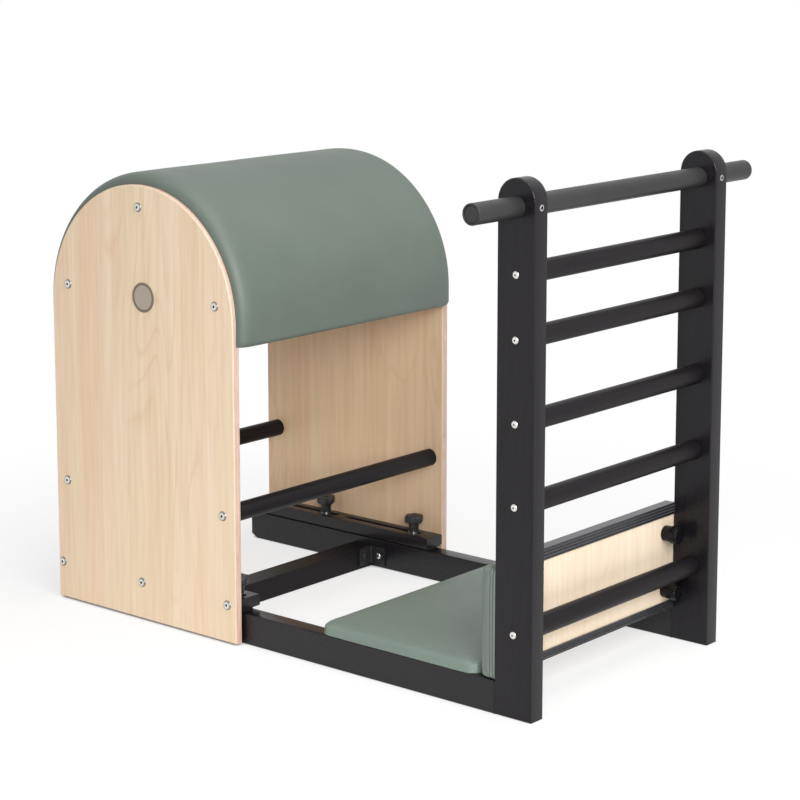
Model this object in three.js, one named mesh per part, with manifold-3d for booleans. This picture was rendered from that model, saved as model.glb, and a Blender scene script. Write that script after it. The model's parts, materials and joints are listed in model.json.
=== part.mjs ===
// Ladder barrel for floor exercise: a padded barrel on a sliding carriage, a base of two
// rails that the carriage is clamped to, and a ladder with a padded heel board at the other end.
// Millimetres, +Z up. The origin is on the floor under the middle of the base.
// +X runs from the barrel to the ladder. "Right" is the -Y side, "left" is the +Y side.

import * as THREE from 'three';
import { mergeVertices } from 'three/addons/utils/BufferGeometryUtils.js';
import Module from 'manifold-3d';

const wasm = await Module();
wasm.setup();

// Fits and facets
const restGap = 0.3; // left between two faces that bear on each other
const cutOverrun = 4; // how far a cutting tool passes the face it opens
const barSides = 32;
const smallSides = 20;
const archSegments = 36;
const uprightSegments = 16;
const cornerSegments = 6;
const halfTurn = Math.PI;
const quarterTurn = Math.PI / 2;

// Base frame
const overallLength = 1280; // rear of the barrel pad to the front of the ladder
const railInset = 8; // rear of the barrel pad to the rear ends of the rails
const baseWidth = 630; // over the outer faces of rails and uprights
const boardThickness = 38; // rails and uprights alike
const boardEdge = 2; // rounding along the sawn edges
const railHeight = 64;
const railChamferLength = 16;
const railChamferHeight = 9;
const beamWidth = 52;
const beamHeight = 47;
const beamFromRear = 383; // rear of the barrel pad to the front face of the crossbeam

// Ladder
const uprightDepth = 85;
const lowRungStep = 241;
const midRungStep = 155;
const highRungStep = 119;
const barStep = 122.5; // highest rung to the top bar
const barToTop = 52.5; // axis of the top bar to the top of the uprights
const rungDiameter = 40;
const rungSocketDepth = 8;
const rungChamfer = 1.5;
const barDiameter = 40;
const barWall = 3.5;
const barOverhang = 130; // past the outer face of each upright
const capRecess = 1.5;
const capThickness = 3;
const capSleeve = 14;
const capSleeveWall = 2;

// Angle brackets between crossbeam and rails
const bracketLeaf = 42;
const bracketWall = 3;
const bracketBend = 5;
const bracketHoleDiameter = 7;
const bracketHeight = 40; // its top is level with the top of the beam

// Side panels of the carriage
const panelWidth = 530;
const panelThickness = 18;
const panelEdge = 2.5;
const panelClearance = 6; // inner face of a panel to the outer face of its rail
const panelFloorGap = 4;
const barrelAxisHeight = 655; // where the round top of a panel starts

// Barrel between the panels
const padProud = 24; // height of the pad above the panel edge
const padThickness = 39;
const padEdgeDrop = 2; // the pad leaves the panel just under its edge
const padShoulder = 17; // length of the roll at both panels
const padFullness = 0.72; // below one, the roll is fuller than an ellipse
const padSkirt = 41; // straight part below the axis
const padHem = 14; // rounding of the lower edge
const shellThickness = 9;
const rodDiameter = 38;
const rodChamfer = 1.5;
const rodHeight = 266;
const rodInset = 34; // from the upright edge of a panel
const stretcherSize = 40;
const stretcherRiseDegrees = 10; // front and rear ones above the level of the axis

// Slotted battens, glide strips and clamps
const battenWidth = 52;
const battenHeight = 24;
const battenEdge = 1.5;
const stripWidth = 30;
const stripThickness = 5.4;
const stripInset = 8;
const slotWidth = 12;
const slotRearMargin = 24; // rear end of the batten to the rear slot
const slotFrontMargin = 42;
const slotBridge = 24; // wood left between the two slots
const slotEndRoom = 18.6; // axis of the front stud to the end of its slot
const rearSlotEndRoom = 38.6; // the same at the rear stud
const rightClampsAhead = 28; // the right pair sits this much nearer the ladder
const studDiameter = 10;
const studDepth = 36;
const studReach = 20; // inside the knob
const washerDiameter = 25;
const washerThickness = 2;

// Clamp knobs
const knobDiameter = 43;
const knobHeadHeight = 16;
const knobNeckHeight = 20;
const knobNeckDiameter = 22;
const knobFlareDiameter = 27;
const knobLobeCount = 6;
const knobLobePoints = 8;
const knobLobeDepthShare = 0.16;
const knobEdge = 2;
const knobCrown = 1.6;
const knobCapDiameter = 12;

// Padded floor board
const floorPadFromBeam = 373; // front face of the crossbeam to the rear edge of the pad
const floorPadToHeelPad = 6;
const floorBoardThickness = 9;
const floorPadHeight = 24;
const floorPadCorner = 34;

// Padded heel board on the rear edges of the uprights
const heelBoardThickness = 15;
const heelBoardLift = 5; // lower edge above the rails
const heelPadDepth = 37;
const heelBoardProud = 5; // above the pad
const heelBoardEndDrop = 6; // below the top of the pad, where the cover wraps the ends
const heelBoardCorner = 8; // cut off the lower corners
const heelPadCorner = 9;
const trimWall = 3;
const trimRidge = 1.2;
const trimRidgeCount = 3;
const topTrimLeg = 21;
const lowTrimLeg = 14;

// Upholstery that both flat pads share
const coverThickness = 3.7; // round the edges of the board
const padRoll = 8;
const padCrown = 2.5;
const padDrawIn = 2;
const cornerPoints = 5;
const sidePoints = 5;
const leastCornerShare = 0.25; // of a round corner, left where the edge rolls in

// Knobs that hold the heel pad
const heelKnobAboveTrim = 8; // low edge strip to the low knobs
const rungAboveHeelKnob = 13;
const heelKnobAboveRung = 29;
const trimAboveHeelKnob = 17;
const heelKnobFromUpright = 29;
const heelKnobDiameter = 36;
const heelKnobHub = 18;
const heelKnobGrip = 17;
const heelKnobFluteCount = 12;
const heelKnobFlutePoints = 4;
const heelKnobFluteDepthShare = 0.07;
const heelStudDiameter = 8;
const heelStudLength = 13;

// Round plate on the right panel, left blank
const badgeDiameter = 62;
const badgeThickness = 1.6;
const badgeRim = 3;
const badgeRimHeight = 0.6;
const badgeAhead = 12;
const badgeAboveAxis = 34;

// Places that follow from the sizes above
const rearEnd = -overallLength / 2;
const ladderFront = overallLength / 2;
const railRear = rearEnd + railInset;
const uprightRear = ladderFront - uprightDepth;
const ladderAxis = ladderFront - uprightDepth / 2;
const outerFace = baseWidth / 2;
const innerFace = outerFace - boardThickness;
const boardMiddle = outerFace - boardThickness / 2;
const heelBoardBottom = railHeight + heelBoardLift;
const lowKnobFoot = heelBoardBottom + lowTrimLeg + heelKnobAboveTrim;
const lowRungFoot = lowKnobFoot + heelKnobDiameter + rungAboveHeelKnob;
const highKnobFoot = lowRungFoot + rungDiameter + heelKnobAboveRung;
const heelBoardTop = highKnobFoot + heelKnobDiameter + trimAboveHeelKnob + topTrimLeg;
const firstRungHeight = lowRungFoot + rungDiameter / 2;
const barHeight = firstRungHeight + lowRungStep + 2 * midRungStep + highRungStep + barStep;
const ladderHeight = barHeight + barToTop;
const beamFront = rearEnd + beamFromRear;
const panelRadius = panelWidth / 2;
const panelInner = outerFace + panelClearance;
const padRadius = panelRadius + padProud;
const carriageAxis = rearEnd + padRadius;
const shellOuterRadius = padRadius - padThickness - restGap;
const shellInnerRadius = shellOuterRadius - shellThickness;
const battenBottom = railHeight + stripThickness + 2 * restGap;
const battenTop = battenBottom + battenHeight;
const battenMiddle = panelInner - restGap - battenWidth / 2;
const slotRearEnd = slotRearMargin - panelRadius; // this and the next two are about the carriage's middle
const slotFrontEnd = panelRadius - slotFrontMargin;
const bridgeMiddle = (slotRearEnd + slotFrontEnd) / 2;
const frontStud = carriageAxis + slotFrontEnd - slotEndRoom;
const rearStud = carriageAxis + bridgeMiddle - slotBridge / 2 - rearSlotEndRoom;
const washerBottom = battenTop + restGap;
const knobBottom = washerBottom + washerThickness + restGap;
const heelPadRear = uprightRear - restGap - heelPadDepth;
const heelBoardFront = uprightRear - restGap;
const heelPadBottom = railHeight + restGap;
const heelPadHeight = heelBoardTop - heelBoardProud - heelPadBottom;
const floorPadRear = beamFront + floorPadFromBeam;
const floorPadFront = heelPadRear - floorPadToHeelPad;

// Finishes
const blackWood = { color: 0x2b2a2c, roughness: 0.5, metalness: 0 };
const maple = { color: 0xe6d3b8, roughness: 0.55, metalness: 0 };
const plywood = { color: 0xc9a878, roughness: 0.7, metalness: 0 };
const greenVinyl = { color: 0x78877a, roughness: 0.45, metalness: 0 };
const blackSteel = { color: 0x232325, roughness: 0.45, metalness: 0.6 };
const brightSteel = { color: 0xc8c8c8, roughness: 0.25, metalness: 1 };
const blackPlastic = { color: 0x1d1d1f, roughness: 0.55, metalness: 0 };
const bronzePlate = { color: 0x857a6c, roughness: 0.4, metalness: 0.5 };

// Geometry helpers

// One closed surface: shared corners merged, collapsed triangles dropped.
function cleaned(geometry) {
  const bare = geometry.index ? geometry.toNonIndexed() : geometry.clone();
  bare.deleteAttribute('normal');
  bare.deleteAttribute('uv');
  const merged = mergeVertices(bare);
  const corners = Array.from(merged.index.array);
  const kept = [];
  for (let i = 0; i < corners.length; i += 3) {
    const [a, b, c] = corners.slice(i, i + 3);
    if (a !== b && b !== c && c !== a) kept.push(a, b, c);
  }
  merged.setIndex(kept);
  return merged;
}

function solidFrom(geometry) {
  const closed = cleaned(geometry);
  return new wasm.Manifold(new wasm.Mesh({
    numProp: 3,
    vertProperties: new Float32Array(closed.attributes.position.array),
    triVerts: new Uint32Array(closed.index.array),
  }));
}

function geometryFrom(solid) {
  const mesh = solid.getMesh();
  const geometry = new THREE.BufferGeometry();
  geometry.setAttribute('position', new THREE.BufferAttribute(new Float32Array(mesh.vertProperties), 3));
  geometry.setIndex(Array.from(mesh.triVerts));
  return geometry;
}

function cutBy(geometry, cutters) {
  let solid = solidFrom(geometry);
  for (const cutter of cutters) solid = solid.subtract(solidFrom(cutter));
  return geometryFrom(solid);
}

function joined(geometries) {
  const [first, ...others] = geometries.map(solidFrom);
  return geometryFrom(others.reduce((sum, solid) => sum.add(solid), first));
}

function outline(points) {
  return new THREE.Shape(points.map(([x, y]) => new THREE.Vector2(x, y)));
}

// A flat outline given a thickness along +Z, its edges rounded by an amount taken from inside it.
function slab(shape, thickness, edge = 0, curveSegments = cornerSegments, roundingSteps = 1) {
  return new THREE.ExtrudeGeometry(shape, {
    depth: thickness - 2 * edge,
    bevelEnabled: edge > 0,
    bevelThickness: edge,
    bevelSize: edge,
    bevelOffset: -edge,
    bevelSegments: roundingSteps,
    curveSegments,
  }).translate(0, 0, edge);
}

// A side view in X and Z given a thickness along Y, centred on Y = 0.
function sideSlab(shape, thickness, ...options) {
  return slab(shape, thickness, ...options).rotateX(quarterTurn).translate(0, thickness / 2, 0);
}

function boxOutline(left, right, low, high) {
  return outline([[left, low], [right, low], [right, high], [left, high]]);
}

// A rectangle about the origin with round corners.
function roundOutline(halfLength, halfWidth, corner) {
  const shape = new THREE.Shape();
  const x = halfLength - corner;
  const y = halfWidth - corner;
  shape.moveTo(halfLength, -y);
  shape.absarc(x, y, corner, 0, quarterTurn, false);
  shape.absarc(-x, y, corner, quarterTurn, halfTurn, false);
  shape.absarc(-x, -y, corner, halfTurn, halfTurn + quarterTurn, false);
  shape.absarc(x, -y, corner, -quarterTurn, 0, false);
  shape.closePath();
  return shape;
}

function block(length, width, height) {
  return new THREE.BoxGeometry(length, width, height);
}

// A turned piece about Z from [radius, height] pairs that run upwards along the outside.
function turned(profile, sides) {
  const points = profile.map(([radius, height]) => new THREE.Vector2(radius, height));
  return new THREE.LatheGeometry(points, sides).rotateX(quarterTurn);
}

function pin(diameter, bottom, top, sides = smallSides) {
  const radius = diameter / 2;
  return turned([[0, bottom], [radius, bottom], [radius, top], [0, top]], sides);
}

function roundBar(diameter, length, chamfer) {
  const radius = diameter / 2;
  const half = length / 2;
  return turned([
    [0, -half],
    [radius - chamfer, -half],
    [radius, chamfer - half],
    [radius, half - chamfer],
    [radius - chamfer, half],
    [0, half],
  ], barSides);
}

// A round outline whose edge swings in and out a number of times.
function wavyOutline(radius, waveCount, pointsPerWave, depthShare) {
  const points = [];
  const total = waveCount * pointsPerWave;
  for (let i = 0; i < total; i += 1) {
    const angle = (2 * halfTurn * i) / total;
    const dip = (1 - Math.cos(waveCount * angle)) / 2;
    const reach = radius * (1 - depthShare * dip);
    points.push([reach * Math.cos(angle), reach * Math.sin(angle)]);
  }
  return outline(points);
}

function placed(name, geometry, finish, position = [0, 0, 0], rotation = [0, 0, 0]) {
  const mesh = new THREE.Mesh(cleaned(geometry), new THREE.MeshStandardMaterial(finish));
  mesh.name = name;
  mesh.position.set(...position);
  mesh.rotation.set(...rotation);
  return mesh;
}

const sides = [
  { name: 'right', sign: -1, ahead: rightClampsAhead },
  { name: 'left', sign: 1, ahead: 0 },
];

// Base: rails, crossbeam and angle brackets

function railGeometry(ahead) {
  const length = uprightRear - restGap - railRear;
  const side = outline([
    [railChamferLength, 0],
    [length, 0],
    [length, railHeight],
    [0, railHeight],
    [0, railChamferHeight],
  ]);
  const studHoles = [frontStud, rearStud].map((x) => (
    pin(studDiameter + 2 * restGap, railHeight - studDepth - restGap, railHeight + cutOverrun)
      .translate(x + ahead - railRear, 0, 0)
  ));
  return cutBy(sideSlab(side, boardThickness, boardEdge), studHoles);
}

function crossbeamGeometry() {
  const length = 2 * (innerFace - restGap);
  const section = boxOutline(-beamWidth, 0, 0, beamHeight);
  return sideSlab(section, length, boardEdge);
}

// Seen from above: one leaf along the rail in +X, one along the beam in +Y, bend at the origin.
function bracketGeometry() {
  const inner = bracketBend - bracketWall;
  const shape = new THREE.Shape();
  shape.moveTo(bracketLeaf, 0);
  shape.lineTo(bracketLeaf, bracketWall);
  shape.lineTo(bracketBend, bracketWall);
  shape.absarc(bracketBend, bracketBend, inner, -quarterTurn, -halfTurn, true);
  shape.lineTo(bracketWall, bracketLeaf);
  shape.lineTo(0, bracketLeaf);
  shape.lineTo(0, bracketBend);
  shape.absarc(bracketBend, bracketBend, bracketBend, halfTurn, halfTurn + quarterTurn, false);
  shape.closePath();
  const leafMiddle = (bracketLeaf + bracketBend) / 2;
  const drill = pin(bracketHoleDiameter, -cutOverrun, bracketWall + cutOverrun);
  const railHole = drill.clone().rotateX(-quarterTurn).translate(leafMiddle, 0, bracketHeight / 2);
  const beamHole = drill.clone().rotateY(quarterTurn).translate(0, leafMiddle, bracketHeight / 2);
  return cutBy(slab(shape, bracketHeight), [railHole, beamHole]);
}

function makeBase() {
  const base = new THREE.Group();
  for (const { name, sign, ahead } of sides) {
    const railPlace = [railRear, sign * boardMiddle, 0];
    base.add(placed(`rail_${name}`, railGeometry(ahead), blackWood, railPlace));
    const low = beamHeight - bracketHeight;
    const corner = [beamFront + restGap, sign * (innerFace - restGap), low];
    const bracket = bracketGeometry();
    // The left bracket is the right one turned over, so it stands on its other end.
    if (sign > 0) bracket.rotateX(halfTurn).translate(0, 0, bracketHeight);
    base.add(placed(`angle_bracket_${name}`, bracket, blackSteel, corner));
  }
  base.add(placed('crossbeam', crossbeamGeometry(), blackWood, [beamFront, 0, 0]));
  return base;
}

// Ladder: two uprights, five rungs and the top bar

function rungHeights() {
  const steps = [lowRungStep, midRungStep, midRungStep, highRungStep];
  const heights = [firstRungHeight];
  for (const step of steps) heights.push(heights.at(-1) + step);
  return heights;
}

// The inner face looks along +Y.
function uprightGeometry() {
  const half = uprightDepth / 2;
  const side = new THREE.Shape();
  side.moveTo(-half, 0);
  side.lineTo(half, 0);
  side.lineTo(half, ladderHeight - half);
  side.absarc(0, ladderHeight - half, half, 0, halfTurn, false);
  side.closePath();
  const reach = boardThickness / 2;
  const barHole = pin(barDiameter + 2 * restGap, -reach - cutOverrun, reach + cutOverrun, barSides)
    .rotateX(quarterTurn)
    .translate(0, 0, barHeight);
  const sockets = rungHeights().map((height) => (
    pin(rungDiameter + 2 * restGap, reach - rungSocketDepth, reach + cutOverrun, barSides)
      .rotateX(-quarterTurn)
      .translate(0, 0, height)
  ));
  return cutBy(sideSlab(side, boardThickness, boardEdge, uprightSegments), [barHole, ...sockets]);
}

function topBarGeometry() {
  const half = outerFace + barOverhang;
  const outer = barDiameter / 2;
  const inner = outer - barWall;
  return turned([[inner, half], [inner, -half], [outer, -half], [outer, half], [inner, half]], barSides);
}

// A plug for one end of the bar, its sleeve inside the tube. The end face looks along +Z.
function barCapGeometry() {
  const radius = barDiameter / 2 - barWall - restGap;
  const sleeveInner = radius - capSleeveWall;
  return turned([
    [0, -capThickness],
    [sleeveInner, -capThickness],
    [sleeveInner, -capSleeve],
    [radius, -capSleeve],
    [radius, 0],
    [0, 0],
  ], barSides);
}

function makeLadder() {
  const ladder = new THREE.Group();
  ladder.position.x = ladderAxis;
  const rungLength = 2 * (innerFace + rungSocketDepth - restGap);
  const along = [quarterTurn, 0, 0];
  for (const { name, sign } of sides) {
    const turn = [0, 0, sign > 0 ? halfTurn : 0];
    ladder.add(placed(`upright_${name}`, uprightGeometry(), blackWood, [0, sign * boardMiddle, 0], turn));
    const capFace = sign * (outerFace + barOverhang - capRecess);
    const facing = [-sign * quarterTurn, 0, 0];
    ladder.add(placed(`bar_cap_${name}`, barCapGeometry(), blackPlastic, [0, capFace, barHeight], facing));
  }
  ladder.add(placed('top_bar', topBarGeometry(), blackSteel, [0, 0, barHeight], along));
  rungHeights().forEach((height, i) => {
    const rung = roundBar(rungDiameter, rungLength, rungChamfer);
    ladder.add(placed(`rung_${i + 1}`, rung, blackWood, [0, 0, height], along));
  });
  return ladder;
}

// Carriage: two side panels, the padded barrel between them, rods and slotted battens

function panelGeometry() {
  const side = new THREE.Shape();
  side.moveTo(-panelRadius, panelFloorGap);
  side.lineTo(panelRadius, panelFloorGap);
  side.lineTo(panelRadius, barrelAxisHeight);
  side.absarc(0, barrelAxisHeight, panelRadius, 0, halfTurn, false);
  side.closePath();
  return sideSlab(side, panelThickness, panelEdge, archSegments, 2);
}

// The bent board that carries the pad: a half round with straight skirts.
function shellGeometry() {
  const shape = new THREE.Shape();
  shape.moveTo(shellOuterRadius, -padSkirt);
  shape.lineTo(shellOuterRadius, 0);
  shape.absarc(0, 0, shellOuterRadius, 0, halfTurn, false);
  shape.lineTo(-shellOuterRadius, -padSkirt);
  shape.lineTo(-shellInnerRadius, -padSkirt);
  shape.lineTo(-shellInnerRadius, 0);
  shape.absarc(0, 0, shellInnerRadius, halfTurn, 0, true);
  shape.lineTo(shellInnerRadius, -padSkirt);
  shape.closePath();
  return sideSlab(shape, 2 * (panelInner - restGap), 0, archSegments);
}

// Stations along the barrel's profile: where each stands, which way is outwards and how full
// the pad is there, from the front hem over the top to the rear hem.
function padStations() {
  const stations = [];
  const hemSteps = 4;
  for (let i = 0; i <= hemSteps; i += 1) {
    const turn = (quarterTurn * i) / hemSteps;
    const rise = padHem * (1 - Math.cos(turn));
    const drop = padHem * (1 - Math.sin(turn));
    stations.push({ angle: 0, drop: padSkirt - rise, hollow: drop });
  }
  for (let i = 0; i <= archSegments; i += 1) {
    stations.push({ angle: (halfTurn * i) / archSegments, drop: 0, hollow: 0 });
  }
  const rear = stations.slice(0, hemSteps + 1).reverse();
  return stations.concat(rear.map((station) => ({ ...station, angle: halfTurn })));
}

// The pad's thickness across the barrel: full in the middle, rounded down to the panel edge.
function padSection() {
  const half = panelInner - restGap;
  const edgeThickness = padThickness - padProud - padEdgeDrop;
  const shoulderSteps = 6;
  const section = [];
  for (let i = 0; i <= shoulderSteps; i += 1) {
    const turn = (quarterTurn * i) / shoulderSteps;
    section.push({
      across: padShoulder * (1 - Math.cos(turn) ** padFullness) - half,
      thickness: edgeThickness + (padThickness - edgeThickness) * Math.sin(turn) ** padFullness,
    });
  }
  const other = section.map(({ across, thickness }) => ({ across: -across, thickness })).reverse();
  const outer = section.concat(other);
  return [{ across: -half, thickness: 0 }, ...outer, { across: half, thickness: 0 }];
}

function barrelPadGeometry() {
  const innerRadius = shellOuterRadius + restGap;
  const section = padSection();
  const corners = [];
  for (const { angle, drop, hollow } of padStations()) {
    for (const { across, thickness } of section) {
      const radius = innerRadius + Math.max(thickness - hollow, 0);
      corners.push(radius * Math.cos(angle), across, radius * Math.sin(angle) - drop);
    }
  }
  return gridSurface(corners, section.length);
}

// Joins rings of equally many corners into a tube and closes both ends.
function gridSurface(corners, ringSize) {
  const ringCount = corners.length / 3 / ringSize;
  const triangles = [];
  for (let ring = 0; ring < ringCount - 1; ring += 1) {
    for (let i = 0; i < ringSize; i += 1) {
      const a = ring * ringSize + i;
      const b = ring * ringSize + ((i + 1) % ringSize);
      triangles.push(a, b, b + ringSize, a, b + ringSize, a + ringSize);
    }
  }
  const last = (ringCount - 1) * ringSize;
  for (let i = 1; i < ringSize - 1; i += 1) {
    triangles.push(0, i + 1, i);
    triangles.push(last, last + i, last + i + 1);
  }
  const geometry = new THREE.BufferGeometry();
  geometry.setAttribute('position', new THREE.Float32BufferAttribute(corners, 3));
  geometry.setIndex(triangles);
  return geometry;
}

// A straight slot with round ends, lying along X.
function slotPath(rear, front, middle, width) {
  const radius = width / 2;
  const path = new THREE.Path();
  path.moveTo(front - radius, middle - radius);
  path.absarc(front - radius, middle, radius, -quarterTurn, quarterTurn, false);
  path.lineTo(rear + radius, middle + radius);
  path.absarc(rear + radius, middle, radius, quarterTurn, quarterTurn + halfTurn, false);
  path.closePath();
  return path;
}

// Both slots of one side, about the carriage's middle.
function slotPaths(middle, width, ahead) {
  const bridge = bridgeMiddle + ahead;
  const half = slotBridge / 2;
  return [
    slotPath(slotRearEnd + ahead, bridge - half, middle, width),
    slotPath(bridge + half, slotFrontEnd + ahead, middle, width),
  ];
}

function battenGeometry(sign, ahead) {
  const shape = boxOutline(-panelRadius, panelRadius, -battenWidth / 2, battenWidth / 2);
  shape.holes.push(...slotPaths(sign * (boardMiddle - battenMiddle), slotWidth, ahead));
  return slab(shape, battenHeight, battenEdge);
}

function glideStripGeometry(ahead) {
  const reach = panelRadius - stripInset;
  const shape = boxOutline(-reach, reach, -stripWidth / 2, stripWidth / 2);
  shape.holes.push(...slotPaths(0, slotWidth, ahead));
  return slab(shape, stripThickness);
}

function badgeGeometry() {
  const radius = badgeDiameter / 2;
  const face = badgeThickness - badgeRimHeight;
  return turned([
    [0, 0],
    [radius, 0],
    [radius, badgeThickness],
    [radius - badgeRim, badgeThickness],
    [radius - badgeRim, face],
    [0, face],
  ], barSides);
}

function makeRods() {
  const rods = new THREE.Group();
  const along = panelRadius - rodInset;
  const places = { front: along, rear: -along };
  for (const [end, x] of Object.entries(places)) {
    const rod = roundBar(rodDiameter, 2 * (panelInner - restGap), rodChamfer);
    rods.add(placed(`cross_rod_${end}`, rod, blackWood, [x, 0, rodHeight], [quarterTurn, 0, 0]));
  }
  return rods;
}

// Square bars whose outer corners bear on the hollow side of the shell.
function makeStretchers() {
  const stretchers = new THREE.Group();
  stretchers.position.z = barrelAxisHeight;
  const half = stretcherSize / 2;
  const flatOfShell = shellInnerRadius * Math.cos(quarterTurn / archSegments);
  const outer = Math.sqrt(flatOfShell ** 2 - half ** 2) - restGap;
  const rise = THREE.MathUtils.degToRad(stretcherRiseDegrees);
  const angles = { front: rise, top: quarterTurn, rear: halfTurn - rise };
  const section = boxOutline(outer - stretcherSize, outer, -half, half);
  for (const [end, angle] of Object.entries(angles)) {
    const bar = sideSlab(section, 2 * (panelInner - restGap), boardEdge);
    stretchers.add(placed(`stretcher_${end}`, bar, plywood, [0, 0, 0], [0, -angle, 0]));
  }
  return stretchers;
}

function makeCarriage() {
  const carriage = new THREE.Group();
  carriage.position.x = carriageAxis;
  for (const { name, sign, ahead } of sides) {
    const panelMiddle = sign * (panelInner + panelThickness / 2);
    const battenPlace = [0, sign * battenMiddle, battenBottom];
    const stripPlace = [0, sign * boardMiddle, railHeight + restGap];
    carriage.add(placed(`side_panel_${name}`, panelGeometry(), maple, [0, panelMiddle, 0]));
    const batten = battenGeometry(sign, ahead);
    const strip = glideStripGeometry(ahead);
    carriage.add(placed(`slide_batten_${name}`, batten, blackWood, battenPlace));
    carriage.add(placed(`glide_strip_${name}`, strip, blackPlastic, stripPlace));
  }
  carriage.add(makeRods(), makeStretchers());
  const axis = [0, 0, barrelAxisHeight];
  carriage.add(placed('barrel_shell', shellGeometry(), plywood, axis));
  carriage.add(placed('barrel_pad', barrelPadGeometry(), greenVinyl, axis));
  const plateFace = -(panelInner + panelThickness + restGap);
  const platePlace = [badgeAhead, plateFace, barrelAxisHeight + badgeAboveAxis];
  carriage.add(placed('badge_plate', badgeGeometry(), bronzePlate, platePlace, [quarterTurn, 0, 0]));
  return carriage;
}

// Clamps: a stud in the rail, a washer on the batten and a lobed knob on the stud

function washerGeometry() {
  const inner = studDiameter / 2 + restGap;
  const outer = washerDiameter / 2;
  const profile = [[inner, washerThickness], [inner, 0], [outer, 0], [outer, washerThickness]];
  return turned([...profile, profile[0]], smallSides);
}

function clampKnobGeometry() {
  const head = slab(
    wavyOutline(knobDiameter / 2, knobLobeCount, knobLobePoints, knobLobeDepthShare),
    knobHeadHeight,
    knobEdge,
  ).translate(0, 0, knobNeckHeight);
  const flareBottom = knobNeckHeight / 2;
  const top = knobNeckHeight + knobHeadHeight;
  const stem = turned([
    [0, 0],
    [knobNeckDiameter / 2, 0],
    [knobNeckDiameter / 2, flareBottom],
    [knobFlareDiameter / 2, knobNeckHeight + knobEdge],
    [knobCapDiameter / 2, top],
    [knobCapDiameter / 2 - knobCrown, top + knobCrown],
    [0, top + knobCrown],
  ], smallSides);
  const bore = pin(studDiameter + 2 * restGap, -cutOverrun, studReach + restGap);
  return cutBy(joined([head, stem]), [bore]);
}

function makeClamps() {
  const clamps = new THREE.Group();
  const places = { front: frontStud, rear: rearStud };
  for (const { name, sign, ahead } of sides) {
    for (const [end, x] of Object.entries(places)) {
      const place = (z) => [x + ahead, sign * boardMiddle, z];
      const stud = pin(studDiameter, railHeight - studDepth, knobBottom + studReach);
      clamps.add(placed(`clamp_stud_${end}_${name}`, stud, brightSteel, place(0)));
      clamps.add(placed(`clamp_washer_${end}_${name}`, washerGeometry(), brightSteel, place(washerBottom)));
      clamps.add(placed(`clamp_knob_${end}_${name}`, clampKnobGeometry(), blackPlastic, place(knobBottom)));
    }
  }
  return clamps;
}

// Flat pads

// Corners of a rectangle with round corners, its long edges drawn in between them.
function padRing(halfLength, halfWidth, corner, drawIn) {
  const ring = [];
  const flatLength = halfLength - corner;
  const flatWidth = halfWidth - corner;
  const centres = [[1, 1], [-1, 1], [-1, -1], [1, -1]];
  centres.forEach(([signX, signY], quarter) => {
    for (let i = 0; i < cornerPoints; i += 1) {
      const angle = quarterTurn * (quarter + i / (cornerPoints - 1));
      ring.push([
        signX * flatLength + corner * Math.cos(angle),
        signY * flatWidth + corner * Math.sin(angle),
      ]);
    }
    const [startX, startY] = ring.at(-1);
    const alongX = quarter % 2 === 0;
    for (let i = 1; i <= sidePoints; i += 1) {
      const share = i / (sidePoints + 1);
      const pull = drawIn * Math.sin(halfTurn * share);
      const x = alongX ? startX * (1 - 2 * share) : startX - Math.sign(startX) * pull;
      const y = alongX ? startY - Math.sign(startY) * pull : startY * (1 - 2 * share);
      ring.push([x, y]);
    }
  });
  return ring;
}

// A cushion that stands on Z = 0: sides, a rolled edge and a crowned top.
function cushionGeometry(length, width, height, corner) {
  const sideTop = height - padCrown - padRoll;
  const rollSteps = 3;
  const topShares = [0.75, 0.4, 0.1];
  const leastCorner = corner * leastCornerShare;
  const levels = [{ inset: 0, rise: 0 }];
  for (let i = 0; i <= rollSteps; i += 1) {
    const turn = (quarterTurn * i) / rollSteps;
    levels.push({ inset: padRoll * (1 - Math.cos(turn)), rise: sideTop + padRoll * Math.sin(turn) });
  }
  const corners = [];
  const addRing = (ring, z) => ring.forEach(([x, y]) => corners.push(x, y, z));
  for (const { inset, rise } of levels) {
    const round = Math.max(corner - inset, leastCorner);
    addRing(padRing(length / 2 - inset, width / 2 - inset, round, padDrawIn), rise);
  }
  const innerCorner = Math.max(corner - padRoll, leastCorner);
  const innerRing = padRing(length / 2 - padRoll, width / 2 - padRoll, innerCorner, padDrawIn);
  for (const share of topShares) {
    addRing(innerRing.map(([x, y]) => [x * share, y * share]), height - padCrown * share ** 2);
  }
  return gridSurface(corners, innerRing.length);
}

function floorBoardOutline(spread) {
  const halfLength = (floorPadFront - floorPadRear) / 2 - coverThickness + spread;
  const halfWidth = outerFace - coverThickness + spread;
  return roundOutline(halfLength, halfWidth, floorPadCorner - coverThickness + spread);
}

function floorPadGeometry() {
  const cushion = cushionGeometry(floorPadFront - floorPadRear, baseWidth, floorPadHeight, floorPadCorner);
  const depth = floorBoardThickness + restGap + cutOverrun;
  const recess = slab(floorBoardOutline(restGap), depth).translate(0, 0, -cutOverrun);
  return cutBy(cushion, [recess]);
}

function makeFloorPad() {
  const group = new THREE.Group();
  group.position.set((floorPadRear + floorPadFront) / 2, 0, railHeight + restGap);
  group.add(placed('floor_board', slab(floorBoardOutline(0), floorBoardThickness), plywood));
  group.add(placed('floor_pad', floorPadGeometry(), greenVinyl));
  return group;
}

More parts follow.
